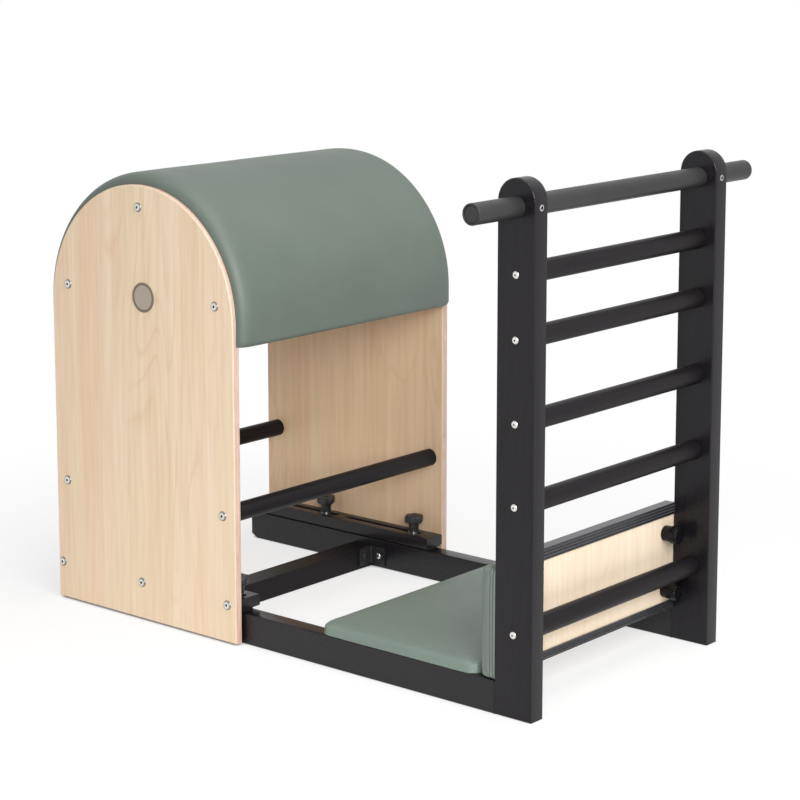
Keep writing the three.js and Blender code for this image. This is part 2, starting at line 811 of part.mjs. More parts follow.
// Heel board: its face to the ladder lies on X = 0, its lower edge on Z = 0.
function heelBoardGeometry() {
  const top = heelBoardTop - heelBoardBottom;
  const endTop = top - heelBoardProud - heelBoardEndDrop;
  const half = outerFace - coverThickness;
  const proudHalf = innerFace - restGap;
  const cut = heelBoardCorner;
  const face = outline([
    [cut - half, 0], [half - cut, 0], [half, cut], [half, endTop], [proudHalf, endTop],
    [proudHalf, top], [-proudHalf, top], [-proudHalf, endTop], [-half, endTop], [-half, cut],
  ]);
  // The outline is drawn lying down, then stood up so that its own X runs along Y.
  const board = slab(face, heelBoardThickness)
    .rotateX(quarterTurn)
    .rotateZ(quarterTurn)
    .translate(-heelBoardThickness, 0, 0);
  const holes = heelKnobPlaces().map(({ y, z }) => (
    pin(heelStudDiameter + 2 * restGap, -heelBoardThickness - cutOverrun, cutOverrun)
      .rotateY(quarterTurn)
      .translate(0, y, z - heelBoardBottom)
  ));
  return cutBy(board, holes);
}

// The cushion lies on its back, its length is the pad's height, and it is stood up when placed.
function heelPadGeometry() {
  const cushion = cushionGeometry(heelPadHeight, baseWidth, heelPadDepth, heelPadCorner);
  const recessDepth = heelBoardThickness + restGap;
  const recess = block(
    heelPadHeight + 2 * cutOverrun,
    2 * (outerFace - coverThickness + restGap),
    recessDepth + cutOverrun,
  ).translate(0, 0, (recessDepth - cutOverrun) / 2);
  return cutBy(cushion, [recess]);
}

// A ridged edge strip. The board's edge is at the origin and the board runs down from it.
function trimGeometry(leg, rearLip) {
  const face = restGap + trimWall;
  const back = -heelBoardThickness - restGap;
  const pitch = (leg + face) / (trimRidgeCount + 1);
  const points = [[restGap, -leg], [face, -leg]];
  for (let i = 1; i <= trimRidgeCount; i += 1) {
    const z = pitch * i - leg;
    points.push([face, z - trimRidge], [face + trimRidge, z], [face, z + trimRidge]);
  }
  points.push([face, face]);
  if (rearLip > 0) {
    points.push([back - trimWall, face], [back - trimWall, -rearLip], [back, -rearLip], [back, restGap]);
  } else {
    points.push([back, face], [back, restGap]);
  }
  points.push([restGap, restGap]);
  return sideSlab(outline(points), 2 * (innerFace - restGap), 0);
}

function heelKnobPlaces() {
  const places = [];
  for (const { name, sign } of sides) {
    const y = sign * (innerFace - heelKnobFromUpright);
    places.push({ name: `low_${name}`, y, z: lowKnobFoot + heelKnobDiameter / 2 });
    places.push({ name: `high_${name}`, y, z: highKnobFoot + heelKnobDiameter / 2 });
  }
  return places;
}

// A hub, a fluted grip and a threaded stud that points back along -Z.
function heelKnobGeometry() {
  const radius = heelKnobDiameter / 2;
  const hub = turned([
    [0, 0],
    [radius - knobEdge, 0],
    [radius - knobEdge / 2, heelKnobHub],
    [0, heelKnobHub],
  ], smallSides);
  const fluted = wavyOutline(radius, heelKnobFluteCount, heelKnobFlutePoints, heelKnobFluteDepthShare);
  const grip = slab(fluted, heelKnobGrip + knobEdge, knobEdge).translate(0, 0, heelKnobHub - knobEdge);
  const stud = pin(heelStudDiameter, -heelStudLength, knobEdge);
  return joined([hub, grip, stud]);
}

function makeHeelBoard() {
  const group = new THREE.Group();
  group.position.x = heelBoardFront;
  group.add(placed('heel_board', heelBoardGeometry(), maple, [0, 0, heelBoardBottom]));
  const padMiddle = heelPadBottom + heelPadHeight / 2;
  group.add(placed('heel_pad', heelPadGeometry(), greenVinyl, [0, 0, padMiddle], [0, -quarterTurn, 0]));
  const topTrim = trimGeometry(topTrimLeg, heelBoardProud - 2 * restGap);
  group.add(placed('heel_trim_top', topTrim, blackPlastic, [0, 0, heelBoardTop]));
  const lowTrim = trimGeometry(lowTrimLeg, 0).rotateX(halfTurn);
  group.add(placed('heel_trim_low', lowTrim, blackPlastic, [0, 0, heelBoardBottom]));
  for (const { name, y, z } of heelKnobPlaces()) {
    const place = [restGap, y, z];
    group.add(placed(`heel_knob_${name}`, heelKnobGeometry(), blackPlastic, place, [0, quarterTurn, 0]));
  }
  return group;
}

const ladderBarrel = new THREE.Group();
ladderBarrel.add(makeBase(), makeLadder(), makeCarriage(), makeClamps(), makeFloorPad(), makeHeelBoard());

export default ladderBarrel;
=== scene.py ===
# %% [markdown]
# # A ladder barrel
# A padded half barrel on a carriage that slides along a low base, and a ladder at the other end.
# The solid parts come ready made and stay where they are. This lesson gives them their finishes,
# puts soft pads in place of the plain ones, adds the small fasteners, and sets up a studio.

import json
import math

import bmesh
import bpy
import numpy as np
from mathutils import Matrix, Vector

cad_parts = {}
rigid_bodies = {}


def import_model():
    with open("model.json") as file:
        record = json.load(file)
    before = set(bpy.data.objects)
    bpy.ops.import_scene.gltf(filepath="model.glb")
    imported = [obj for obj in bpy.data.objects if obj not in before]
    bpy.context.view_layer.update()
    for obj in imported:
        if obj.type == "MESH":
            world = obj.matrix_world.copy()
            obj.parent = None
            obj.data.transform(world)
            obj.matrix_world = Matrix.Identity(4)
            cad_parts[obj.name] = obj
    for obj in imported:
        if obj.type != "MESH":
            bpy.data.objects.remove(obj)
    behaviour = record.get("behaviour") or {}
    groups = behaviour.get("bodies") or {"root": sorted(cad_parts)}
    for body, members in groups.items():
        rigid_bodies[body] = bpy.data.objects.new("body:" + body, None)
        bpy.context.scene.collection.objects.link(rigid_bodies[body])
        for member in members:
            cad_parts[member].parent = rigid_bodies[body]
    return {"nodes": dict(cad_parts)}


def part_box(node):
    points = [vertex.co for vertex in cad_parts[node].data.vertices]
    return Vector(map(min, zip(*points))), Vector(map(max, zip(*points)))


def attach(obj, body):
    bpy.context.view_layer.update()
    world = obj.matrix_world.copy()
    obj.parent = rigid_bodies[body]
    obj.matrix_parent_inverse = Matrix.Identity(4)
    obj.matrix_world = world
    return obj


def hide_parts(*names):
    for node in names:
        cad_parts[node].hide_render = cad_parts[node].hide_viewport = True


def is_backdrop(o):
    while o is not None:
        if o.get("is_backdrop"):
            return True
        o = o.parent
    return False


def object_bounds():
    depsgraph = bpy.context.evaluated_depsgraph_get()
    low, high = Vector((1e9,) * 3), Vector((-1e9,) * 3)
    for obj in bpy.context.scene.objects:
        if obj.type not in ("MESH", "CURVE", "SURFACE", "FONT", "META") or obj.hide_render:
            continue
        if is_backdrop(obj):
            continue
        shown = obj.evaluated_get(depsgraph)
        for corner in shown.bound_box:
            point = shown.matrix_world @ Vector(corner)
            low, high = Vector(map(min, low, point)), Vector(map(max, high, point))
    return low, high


for leftover in list(bpy.data.objects):
    bpy.data.objects.remove(leftover)
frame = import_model()
nodes = frame["nodes"]
cad_low, cad_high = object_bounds()
print("frame:", len(nodes), "nodes, size", [round(v, 3) for v in cad_high - cad_low])

# %% [markdown]
# ## Camera
# The picture was taken with a long lens from the ladder end, a little above the barrel. A long lens
# keeps upright edges nearly parallel, so the camera stands about five metres away. A small shift
# moves the frame down, as a view camera does, which keeps the lens nearly level.

# %% Camera
picture_width = 800
focal_pixels = 2321
aim_row = 280  # the row of the picture that the lens points at
eye = Vector((3.077, -3.583, 1.492))
heading, tilt = math.radians(130.08), math.radians(-9.3)

camera_data = bpy.data.cameras.new("camera")
camera_data.sensor_width = 36
camera_data.lens = focal_pixels / picture_width * camera_data.sensor_width
camera_data.shift_y = (aim_row - picture_width / 2) / picture_width
camera = bpy.data.objects.new("camera", camera_data)
bpy.context.scene.collection.objects.link(camera)
camera.location = eye
level = math.cos(tilt)
ahead = Vector((level * math.cos(heading), level * math.sin(heading), math.sin(tilt)))
camera.rotation_mode = "QUATERNION"
camera.rotation_quaternion = ahead.to_track_quat("-Z", "Y")
bpy.context.scene.camera = camera
print("camera: lens", round(camera_data.lens, 1), "mm, shift", round(camera_data.shift_y, 3))

# %% [markdown]
# ## Small tools
# Colours are written as on a paint chart, from 0 to 255, and turned into the linear numbers that
# Blender mixes. Node trees are long to write by hand, so one helper adds a node and wires it.

# %% Colour helper
def paint(red, green, blue):
    """A linear colour from the 0 to 255 numbers of a paint chart."""
    channels = [v / 255 for v in (red, green, blue)]
    linear = [v / 12.92 if v <= 0.04045 else ((v + 0.055) / 1.055) ** 2.4 for v in channels]
    return (*linear, 1.0)


print("chart grey 128 is", round(paint(128, 128, 128)[0], 3), "in linear light")

# %% Node helper
class Tree:
    """Adds nodes to a tree and wires them. A value is a number, a colour or another socket."""

    def __init__(self, tree):
        self.tree = tree

    def add(self, kind, wires=None, **settings):
        node = self.tree.nodes.new(kind)
        for key, value in settings.items():
            setattr(node, key, value)
        for key, value in (wires or {}).items():
            self.feed(node.inputs[key], value)
        return node

    def feed(self, socket, value):
        if isinstance(value, bpy.types.NodeSocket):
            self.tree.links.new(value, socket)
        else:
            socket.default_value = value

    def math(self, operation, *values, clamp=False):
        node = self.add("ShaderNodeMath", operation=operation, use_clamp=clamp)
        for socket, value in zip(node.inputs, values):
            self.feed(socket, value)
        return node.outputs[0]

    def times(self, first, second, clamp=False):
        return self.math("MULTIPLY", first, second, clamp=clamp)

    def minus(self, first, second, clamp=False):
        return self.math("SUBTRACT", first, second, clamp=clamp)

    def line(self, value, centre, half_width):
        """1 where the value meets the centre, fading to 0 at half_width on both sides of it."""
        far = self.math("ABSOLUTE", self.minus(value, centre))
        return self.minus(1.0, self.math("DIVIDE", far, half_width), clamp=True)

    def axis(self, vector, letter):
        return self.add("ShaderNodeSeparateXYZ", {"Vector": vector}).outputs[letter]

    def vector(self, operation, first, second=(0, 0, 0)):
        return self.add("ShaderNodeVectorMath", {0: first, 1: second}, operation=operation).outputs

    def mix(self, share, first, second, how="MIX"):
        """Share 0 gives the first colour and share 1 the second."""
        node = self.add("ShaderNodeMix", data_type="RGBA", blend_type=how)
        for number, value in ((0, share), (6, first), (7, second)):
            self.feed(node.inputs[number], value)
        return node.outputs[2]

    def ramp(self, value, *stops):
        """A colour ramp through stops of (place, red, green, blue), the colours from the chart."""
        node = self.add("ShaderNodeValToRGB", {"Fac": value})
        elements = node.color_ramp.elements
        while len(elements) < len(stops):
            elements.new(1.0)
        for element, (place, *chart) in zip(elements, stops):
            element.position = place
            element.color = paint(*chart)
        return node.outputs["Color"]

    def cloudy(self, value, shade, step, margin=0.3):
        """From a shade to one that is step lighter, in the middle of the value's range."""
        return self.ramp(value, (margin, *shade), (1 - margin, *(v + step for v in shade)))

    def noise(self, place, scale, detail=4.0, roughness=0.5, distortion=0.0):
        """Clouds of values about 0.5, as many in a metre as scale says."""
        wires = {"Vector": place, "Scale": scale, "Detail": detail, "Roughness": roughness}
        return self.add("ShaderNodeTexNoise", {**wires, "Distortion": distortion}).outputs["Fac"]

    def stretched(self, place, stretch):
        return self.add("ShaderNodeMapping", {"Vector": place, "Scale": stretch}).outputs["Vector"]

    def bump(self, height, strength, distance, normal=None):
        """Relief of a pattern whose full height stands for distance, in metres."""
        wires = {"Height": height, "Strength": strength, "Distance": distance}
        if normal is not None:
            wires["Normal"] = normal
        return self.add("ShaderNodeBump", wires).outputs["Normal"]


print("node helper ready")

# %% Start and finish of a material
def start_material(name):
    """A new material, its tree, its main shader and the piece's own coordinates."""
    material = bpy.data.materials.new(name)
    material.use_nodes = True
    tree = Tree(material.node_tree)
    shader = material.node_tree.nodes["Principled BSDF"]
    place = tree.add("ShaderNodeTexCoord").outputs["Object"]
    return material, tree, shader, place


def finish_shader(tree, shader, colour, rough, normal, specular=0.5, metallic=0.0):
    """rough is (a pattern, how much it adds, the least roughness)."""
    tree.feed(shader.inputs["Base Color"], colour)
    tree.feed(shader.inputs["Roughness"], tree.math("MULTIPLY_ADD", *rough))
    tree.feed(shader.inputs["Normal"], normal)
    shader.inputs["Specular IOR Level"].default_value = specular
    shader.inputs["Metallic"].default_value = metallic


print("material helpers ready")

# %% [markdown]
# ## Maple laminate
# The side panels and the heel board are pale maple laminate. Its print has soft stripes along the
# fibre, a few centimetres apart, that lean to pink, to yellow or to grey, and thin long ovals where
# the growth rings were cut. A photograph of wood would repeat and hold one size only, so the print
# is drawn with noise that is stretched along the fibre. The ovals are contour lines of such a
# noise: wherever it passes a whole step, a line appears. The cut edges wear a pinker band, and the
# narrow rounding between the two gets a painted highlight, paler than both. The panels' inner faces
# get a painted shade, a little browner, and the heel board's copy is painted lighter.

# %% Maple: the printed face
def maple_face(tree, place, pale):
    """The colour of the print, and the fine streaks that its gloss follows too."""
    along = tree.stretched(place, (1.0, 1.0, 0.045))
    stripes = tree.noise(along, 26.0, 3.0, 0.55, 0.35)
    hue = tree.noise(along, 17.0, 2.0, 0.5, 0.2)
    streaks = tree.noise(along, 120.0, 4.0, 0.6, 0.2)
    wide = tree.ramp(stripes, (0.28, 223, 196, 165), (0.50, 230, 208, 180), (0.70, 236, 217, 194))
    pink = tree.mix(tree.minus(hue, 0.46, clamp=True), wide, paint(234, 190, 162))
    tinted = tree.mix(tree.minus(0.48, hue, clamp=True), pink, paint(220, 208, 166))

    threads = tree.noise(tree.stretched(place, (1.0, 1.0, 0.02)), 85.0, 2.0, 0.5)
    thread = tree.times(tree.minus(threads, 0.54, clamp=True), 4.5, clamp=True)
    threaded = tree.mix(tree.times(thread, 0.45), tinted, paint(213, 178, 139))

    grown = tree.noise(tree.stretched(place, (1.0, 1.0, 0.15)), 11.0, 1.0, 0.4, 0.5)
    ring = tree.line(tree.math("FRACT", tree.times(grown, 12.0)), 0.5, 0.17)
    spread = tree.noise(tree.stretched(place, (1.0, 1.0, 0.5)), 4.6, 1.0)
    patch = tree.times(tree.minus(spread, 0.48, clamp=True), 6.0, clamp=True)
    ringed = tree.mix(tree.times(tree.times(ring, patch), 0.42), threaded, paint(207, 170, 134))

    fine = tree.ramp(streaks, (0.30, 212, 184, 151), (0.52, 229, 206, 177), (0.75, 239, 221, 198))
    # pale mixes in a paler colour: painted light, used on the heel board's copy
    return tree.mix(pale, tree.mix(0.35, ringed, fine), paint(243, 229, 209)), streaks


print("maple print ready")

# %% Maple: edge band, and the two boards
def maple_material(name, face_axis, pale=0.0, inner_painted_shade=0.0):
    """Upright maple whose broad faces look along face_axis. All other faces wear the edge band."""
    edge_below, round_below = 0.45, 0.93  # share of a face's direction that lies along the axis
    material, tree, shader, place = start_material(name)
    face, streaks = maple_face(tree, place, pale)
    normal = tree.add("ShaderNodeTexCoord").outputs["Normal"]
    # painted shade: faces turned in towards the middle are multiplied a little browner
    to_middle = tree.times(tree.axis(place, "Y"), tree.axis(normal, "Y"))
    inward = tree.math("LESS_THAN", to_middle, -0.01)
    face = tree.mix(tree.times(inward, inner_painted_shade), face, paint(255, 246, 236), "MULTIPLY")

    facing = tree.math("ABSOLUTE", tree.axis(normal, face_axis))
    cut = tree.noise(tree.stretched(place, (0.4, 1.0, 0.05)), 420.0, 3.0, 0.6)
    banded = tree.ramp(cut, (0.30, 190, 156, 138), (0.55, 213, 182, 164), (0.75, 226, 199, 183))
    # painted highlight: the rounding between the face and the edge band is paler than both
    on_round = tree.mix(tree.math("LESS_THAN", facing, round_below), face, paint(230, 208, 184))
    colour = tree.mix(tree.math("LESS_THAN", facing, edge_below), on_round, banded)
    pores = tree.bump(streaks, 0.08, 0.0003)
    finish_shader(tree, shader, colour, (streaks, 0.16, 0.36), pores, specular=0.4)
    return material


panel_maple = maple_material("panel_maple", "Y", inner_painted_shade=1.0)
# the heel board's copy is painted lighter, for the light that falls on it
board_maple = maple_material("board_maple", "X", pale=0.35)
print("maple:", panel_maple.name, board_maple.name)

# %% [markdown]
# ## Black lacquer
# Rails, uprights, rungs and rods are wood under black satin lacquer. The colour is almost black,
# and what shows is the sheen: it changes a little along the fibre, and a faint brown glows through.
# The fibre runs another way in each piece, so there are three materials from one function. The flat
# boards are rubbed down between coats and shine more than the round rungs that hands hold.

# %% Black lacquer
def lacquer_material(name, stretch, shine, rough, warmth=0.15):
    material, tree, shader, place = start_material(name)
    fibre = tree.noise(tree.stretched(place, stretch), 150.0, 5.0, 0.62, 0.2)
    cloud = tree.noise(place, 5.0, 2.0)
    black = tree.ramp(fibre, (0.25, 16, 14, 18), (0.75, 24, 22, 27))
    colour = tree.mix(tree.times(cloud, warmth), black, paint(42, 33, 29))
    raised = tree.bump(fibre, 0.12, 0.0003)
    finish_shader(tree, shader, colour, (fibre, 0.18, rough), raised, specular=shine)
    return material


# name, stretch against the fibre, shine, least roughness, share of brown
lacquer_x = lacquer_material("black_lacquer_rails", (0.06, 1.0, 1.0), 0.38, 0.20)
lacquer_y = lacquer_material("black_lacquer_rungs", (1.0, 0.06, 1.0), 0.15, 0.36, 0.3)
lacquer_z = lacquer_material("black_lacquer_uprights", (1.0, 1.0, 0.06), 0.27, 0.20)
print("lacquer: three directions of fibre")

# %% [markdown]
# ## Upholstery vinyl
# The pads wear grey-green vinyl with a fine pebble grain. The grain could be an embossing picture,
# but a cell pattern needs none and keeps its size on every pad. It is pressed in by bump only,
# because each pebble is under a millimetre. Slow colour clouds stop it looking like paint. Where a
# piece has seams, their thread darkens the vinyl along a thin line. The copies on the floor pad and
# the heel pad are painted lighter, standing in for the light that falls on them.

# %% Vinyl
def vinyl_material(name, shade, seams_at=()):
    """Vinyl. seams_at lists places along X where the thread of a seam darkens it."""
    seam_half_width = 0.0014
    material, tree, shader, place = start_material(name)
    cells = tree.add("ShaderNodeTexVoronoi", {"Vector": place, "Scale": 750.0, "Randomness": 0.9})
    pebble = cells.outputs["Distance"]
    cloud = tree.noise(place, 6.0, 3.0, 0.5)
    crease = tree.noise(place, 38.0, 4.0, 0.55, 0.6)
    wear = tree.times(tree.math("POWER", crease, 3.0), 0.25)
    worn = tree.mix(wear, tree.cloudy(cloud, shade, 6), paint(120, 130, 120))
    colour = tree.mix(tree.times(pebble, 0.12), worn, paint(74, 84, 76))
    for seam_at in seams_at:
        thread = tree.line(tree.axis(place, "X"), seam_at, seam_half_width)
        colour = tree.mix(thread, colour, paint(48, 58, 50))
    grain = tree.bump(pebble, 0.16, 0.0002, tree.bump(crease, 0.05, 0.0012))
    finish_shader(tree, shader, colour, (crease, 0.14, 0.46), grain, specular=0.6)
    return material


green_vinyl = vinyl_material("green_vinyl", (86, 98, 88))
# painted light: the floor pad's copy is lighter than the barrel pad's vinyl
floor_vinyl_painted_light = vinyl_material("green_vinyl_floor_painted_light", (107, 122, 112))
print("vinyl:", green_vinyl.name, floor_vinyl_painted_light.name)

# %% [markdown]
# ## Plastic and metal
# Clamp knobs and edge strips are moulded plastic with a matt skin, and the heel board's knobs are
# glossy. Studs, washers and screws are bright zinc. On a screw head the drive socket and the foot
# of the dome get painted shade, which a value stored on its points says. The tube and
# the brackets are powder coated, which leaves a fine orange peel.

# %% Plastic
def plastic_material(name, shade, rough, skin_share=0.2, specular=0.5):
    material, tree, shader, place = start_material(name)
    skin = tree.noise(place, 1400.0, 3.0, 0.6)
    colour = tree.cloudy(tree.noise(place, 30.0, 2.0), shade, 9)
    raised = tree.bump(skin, skin_share, 0.0001)
    finish_shader(tree, shader, colour, (skin, skin_share, rough), raised, specular)
    return material


def ribbed_plastic(name, node_name, ridges=3):
    """Black strip whose ridges stand evenly from its low to its high edge, with painted shade
    between them.
    """
    material, tree, shader, place = start_material(name)
    low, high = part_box(node_name)
    pitch = (high.z - low.z) / (ridges + 1)
    above = tree.minus(tree.axis(place, "Z"), low.z)
    wave = tree.math("COSINE", tree.times(above, math.tau / pitch))
    rib = tree.math("MULTIPLY_ADD", wave, 0.5, 0.5)
    cloud = tree.noise(place, 30.0, 2.0)
    shade = tree.cloudy(cloud, (64, 65, 69), 14)
    # painted shade: the valleys between the ribs go almost black
    colour = tree.mix(tree.math("POWER", rib, 0.9), paint(5, 5, 6), shade)
    finish_shader(tree, shader, colour, (cloud, 0.1, 0.26), tree.bump(rib, 0.6, 0.0008), 0.4)
    return material


knob_plastic = plastic_material("knob_plastic", (26, 26, 28), 0.36)
gloss_plastic = plastic_material("gloss_plastic", (11, 11, 13), 0.10, 0.06, 0.16)
glide_plastic = plastic_material("glide_plastic", (30, 30, 30), 0.5)
top_strip = ribbed_plastic("ribbed_strip_top", "heel_trim_top")
low_strip = ribbed_plastic("ribbed_strip_low", "heel_trim_low")
print("plastic: knobs, glides and two ribbed strips")

# %% Zinc and powder coat
def metal_material(name, dull, rough, scratch_scale, stretch=(1, 1, 1), reads_painted_shade=False):
    material, tree, shader, place = start_material(name)
    scratch = tree.noise(tree.stretched(place, stretch), scratch_scale, 4.0, 0.7)
    colour = tree.cloudy(tree.noise(place, 40.0, 2.0), dull, 22, margin=0.25)
    if reads_painted_shade:
        # painted shade, read from the value stored on the head's points
        painted_shade = tree.add("ShaderNodeAttribute", attribute_name="painted_shade").outputs["Fac"]
        colour = tree.mix(painted_shade, colour, paint(48, 46, 45))
    brushed = tree.bump(scratch, 0.08, 0.0001)
    finish_shader(tree, shader, colour, (scratch, 0.18, rough), brushed, metallic=1.0)
    return material


def powder_material(name, shade):
    material, tree, shader, place = start_material(name)
    peel = tree.noise(place, 500.0, 3.0, 0.55)
    colour = tree.cloudy(tree.noise(place, 12.0, 2.0), shade, 8)
    finish_shader(tree, shader, colour, (peel, 0.2, 0.32), tree.bump(peel, 0.25, 0.0002), 0.35)
    return material


bright_steel = metal_material("bright_steel", (183, 183, 186), 0.18, 900.0, (1, 1, 0.1))
screw_steel = metal_material("screw_steel", (218, 216, 211), 0.2, 1200.0, reads_painted_shade=True)
bar_coat = powder_material("bar_powder_coat", (38, 37, 38))
bracket_coat = powder_material("bracket_powder_coat", (32, 32, 33))
print("metal:", bright_steel.name, screw_steel.name, bar_coat.name, bracket_coat.name)

# %% [markdown]
# ## Plywood and the round plate
# Bare plywood shows only on hidden edges, as a plain stretched noise. The plate on the right panel
# is blank satin bronze. It was brushed while it turned, so its pattern is a noise of one number,
# the distance from its middle, and it is darker outside the groove that runs near its rim.

# %% Plywood and plate
def plywood_material(name):
    material, tree, shader, place = start_material(name)
    fibre = tree.noise(tree.stretched(place, (1.0, 0.08, 1.0)), 120.0, 5.0, 0.6, 0.4)
    colour = tree.ramp(fibre, (0.3, 178, 146, 106), (0.7, 206, 178, 138))
    finish_shader(tree, shader, colour, (fibre, 0.2, 0.55), tree.bump(fibre, 0.2, 0.0004))
    return material


def plate_material(name, centre, rim_radius):
    groove_half_width = 0.0012
    material, tree, shader, place = start_material(name)
    moved = tree.vector("SUBTRACT", place, centre)[0]
    flat = tree.vector("MULTIPLY", moved, (1, 0, 1))[0]
    radius = tree.vector("LENGTH", flat)["Value"]
    wires = {"W": radius, "Scale": 2600.0, "Detail": 2.0}
    rings = tree.add("ShaderNodeTexNoise", wires, noise_dimensions="1D").outputs["Fac"]
    disc = tree.ramp(rings, (0.3, 158, 145, 131), (0.7, 175, 162, 149))
    rim = tree.ramp(rings, (0.3, 112, 100, 86), (0.7, 130, 118, 103))
    bronze = tree.mix(tree.math("GREATER_THAN", radius, rim_radius), disc, rim)
    groove = tree.line(radius, rim_radius, groove_half_width)
    colour = tree.mix(groove, bronze, paint(84, 73, 60))
    brushed = tree.bump(rings, 0.1, 0.0001)
    finish_shader(tree, shader, colour, (rings, 0.2, 0.32), brushed, metallic=0.2)
    return material


plywood = plywood_material("bare_plywood")
plate_low, plate_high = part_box("badge_plate")
plate_middle = (plate_low + plate_high) / 2
plate_radius = (plate_high.x - plate_low.x) / 2
bronze_plate = plate_material("bronze_plate", plate_middle, plate_radius * 0.85)
print("plate radius", round(plate_radius, 4), "at", [round(v, 3) for v in plate_middle])

# %% [markdown]
# ## Finishes on the solid parts
# Each solid keeps its mesh and gets a finish by its name. Its flat facets would show as stripes on
# the round parts, so a small node tree joins the loose triangles and shades shallow angles smooth,
# and a Weighted Normal modifier lets the broad faces stay flat beside their rounded edges. The
# steel tube's ends also get a small Bevel, because a deburred end shows as a bright ring.

# %% Finish for every node
finish_by_start = {
    "rail_": lacquer_x, "crossbeam": lacquer_y, "upright_": lacquer_z, "rung_": lacquer_y,
    "top_bar": bar_coat, "bar_cap_": knob_plastic, "angle_bracket_": bracket_coat,
    "side_panel_": panel_maple, "heel_board": board_maple, "slide_batten_": lacquer_x,
    "glide_strip_": glide_plastic, "cross_rod_": lacquer_y, "stretcher_": plywood,
    "barrel_shell": plywood, "floor_board": plywood, "clamp_stud_": bright_steel,
    "clamp_washer_": bright_steel, "clamp_knob_": knob_plastic, "heel_knob_": gloss_plastic,
    "heel_trim_top": top_strip, "heel_trim_low": low_strip, "badge_plate": bronze_plate,
    "barrel_pad": green_vinyl, "floor_pad": green_vinyl, "heel_pad": green_vinyl,
}


def finish_for(node_name):
    starts = [start for start in finish_by_start if node_name.startswith(start)]
    return finish_by_start[max(starts, key=len)]


for node_name, node in nodes.items():
    node.data.materials.clear()
    node.data.materials.append(finish_for(node_name))
print("finishes:", len(nodes), "nodes in", len(set(finish_by_start.values())), "materials")

# %% Tree helpers that later trees share
def new_tree(name, inputs):
    """A geometry tree with the named inputs. Returns the group, its builder and the inputs."""
    group = bpy.data.node_groups.new(name, "GeometryNodeTree")
    group.interface.new_socket("Geometry", in_out="INPUT", socket_type="NodeSocketGeometry")
    for label, (kind, value) in inputs.items():
        socket_type = "NodeSocket" + kind
        socket = group.interface.new_socket(label, in_out="INPUT", socket_type=socket_type)
        if value is not None:
            socket.default_value = value
    group.interface.new_socket("Geometry", in_out="OUTPUT", socket_type="NodeSocketGeometry")
    tree = Tree(group)
    return group, tree, tree.add("NodeGroupInput").outputs


print("tree helper ready")

# %% Smooth shading on round parts
sharp_angle = math.radians(50)
rim_bevel = 0.0011


def make_shading_tree():
    """Joins loose triangles and marks only the edges sharper than Sharp Angle."""
    group, tree, start = new_tree("soft_shading", {"Sharp Angle": ("Float", sharp_angle)})
    wires = {"Geometry": start["Geometry"], "Name": "custom_normal"}
    bare = tree.add("GeometryNodeRemoveAttribute", wires).outputs[0]
    wires = {"Geometry": bare, "Distance": 1e-5}
    merged = tree.add("GeometryNodeMergeByDistance", wires).outputs[0]
    wires = {"Geometry": merged, "Shade Smooth": True}
    smooth = tree.add("GeometryNodeSetShadeSmooth", wires).outputs[0]
    corner = tree.add("GeometryNodeInputMeshEdgeAngle").outputs["Unsigned Angle"]
    sharp = tree.math("GREATER_THAN", corner, start["Sharp Angle"])
    wires = {"Geometry": smooth, "Selection": sharp, "Shade Smooth": False}
    marked = tree.add("GeometryNodeSetShadeSmooth", wires, domain="EDGE").outputs[0]
    tree.add("NodeGroupOutput", {"Geometry": marked})
    return group


shading_tree = make_shading_tree()
for node_name, node in nodes.items():
    node.modifiers.new("soft_shading", "NODES").node_group = shading_tree
    if node_name.startswith(("top_bar", "bar_cap_")):
        bevel = node.modifiers.new("broken_edge", "BEVEL")
        bevel.width, bevel.segments = rim_bevel, 3
        bevel.limit_method, bevel.angle_limit = "ANGLE", sharp_angle
        bevel.harden_normals = False
    node.modifiers.new("weigh_faces", "WEIGHTED_NORMAL").keep_sharp = True
print("shading tree on", len(nodes), "nodes")

# %% [markdown]
# ## Geometry helpers
# Repeats such as bolts come out of node trees. A tree is run once on a carrier object, its result
# is copied into a plain mesh, and the carrier goes, so every piece ends as one ordinary mesh.

# %% Pieces from meshes and from trees
def add_piece(name, mesh):
    piece = bpy.data.objects.new(name, mesh)
    bpy.context.scene.collection.objects.link(piece)
    return piece


def close_tree(tree, geometry, material):
    solid = tree.add("GeometryNodeRealizeInstances", {"Geometry": geometry}).outputs[0]
    wires = {"Geometry": solid, "Material": material}
    painted = tree.add("GeometryNodeSetMaterial", wires).outputs[0]
    tree.add("NodeGroupOutput", {"Geometry": painted})


def run_tree(name, group, values, start_mesh):
    """Runs a tree with its inputs set by identifier, and returns the result as a plain piece."""
    carrier = add_piece(name + "_carrier", start_mesh)
    modifier = carrier.modifiers.new("tree", "NODES")
    modifier.node_group = group
    for item in group.interface.items_tree:
        if item.item_type == "SOCKET" and item.in_out == "INPUT" and item.name in values:
            modifier[item.identifier] = values[item.name]
    depsgraph = bpy.context.evaluated_depsgraph_get()
    ready = carrier.evaluated_get(depsgraph)
    mesh = bpy.data.meshes.new_from_object(ready, depsgraph=depsgraph)
    bpy.data.objects.remove(carrier)
    mesh.name = name
    return add_piece(name, mesh)


print("tree runner ready")

# %% Mesh helpers
def read_points(mesh):
    points = np.zeros(len(mesh.vertices) * 3)
    mesh.vertices.foreach_get("co", points)
    return points.reshape(-1, 3)


def write_points(mesh, points):
    mesh.vertices.foreach_set("co", points.ravel())
    mesh.update()


def smooth_faces(piece, smooth=True):
    piece.data.polygons.foreach_set("use_smooth", [smooth] * len(piece.data.polygons))


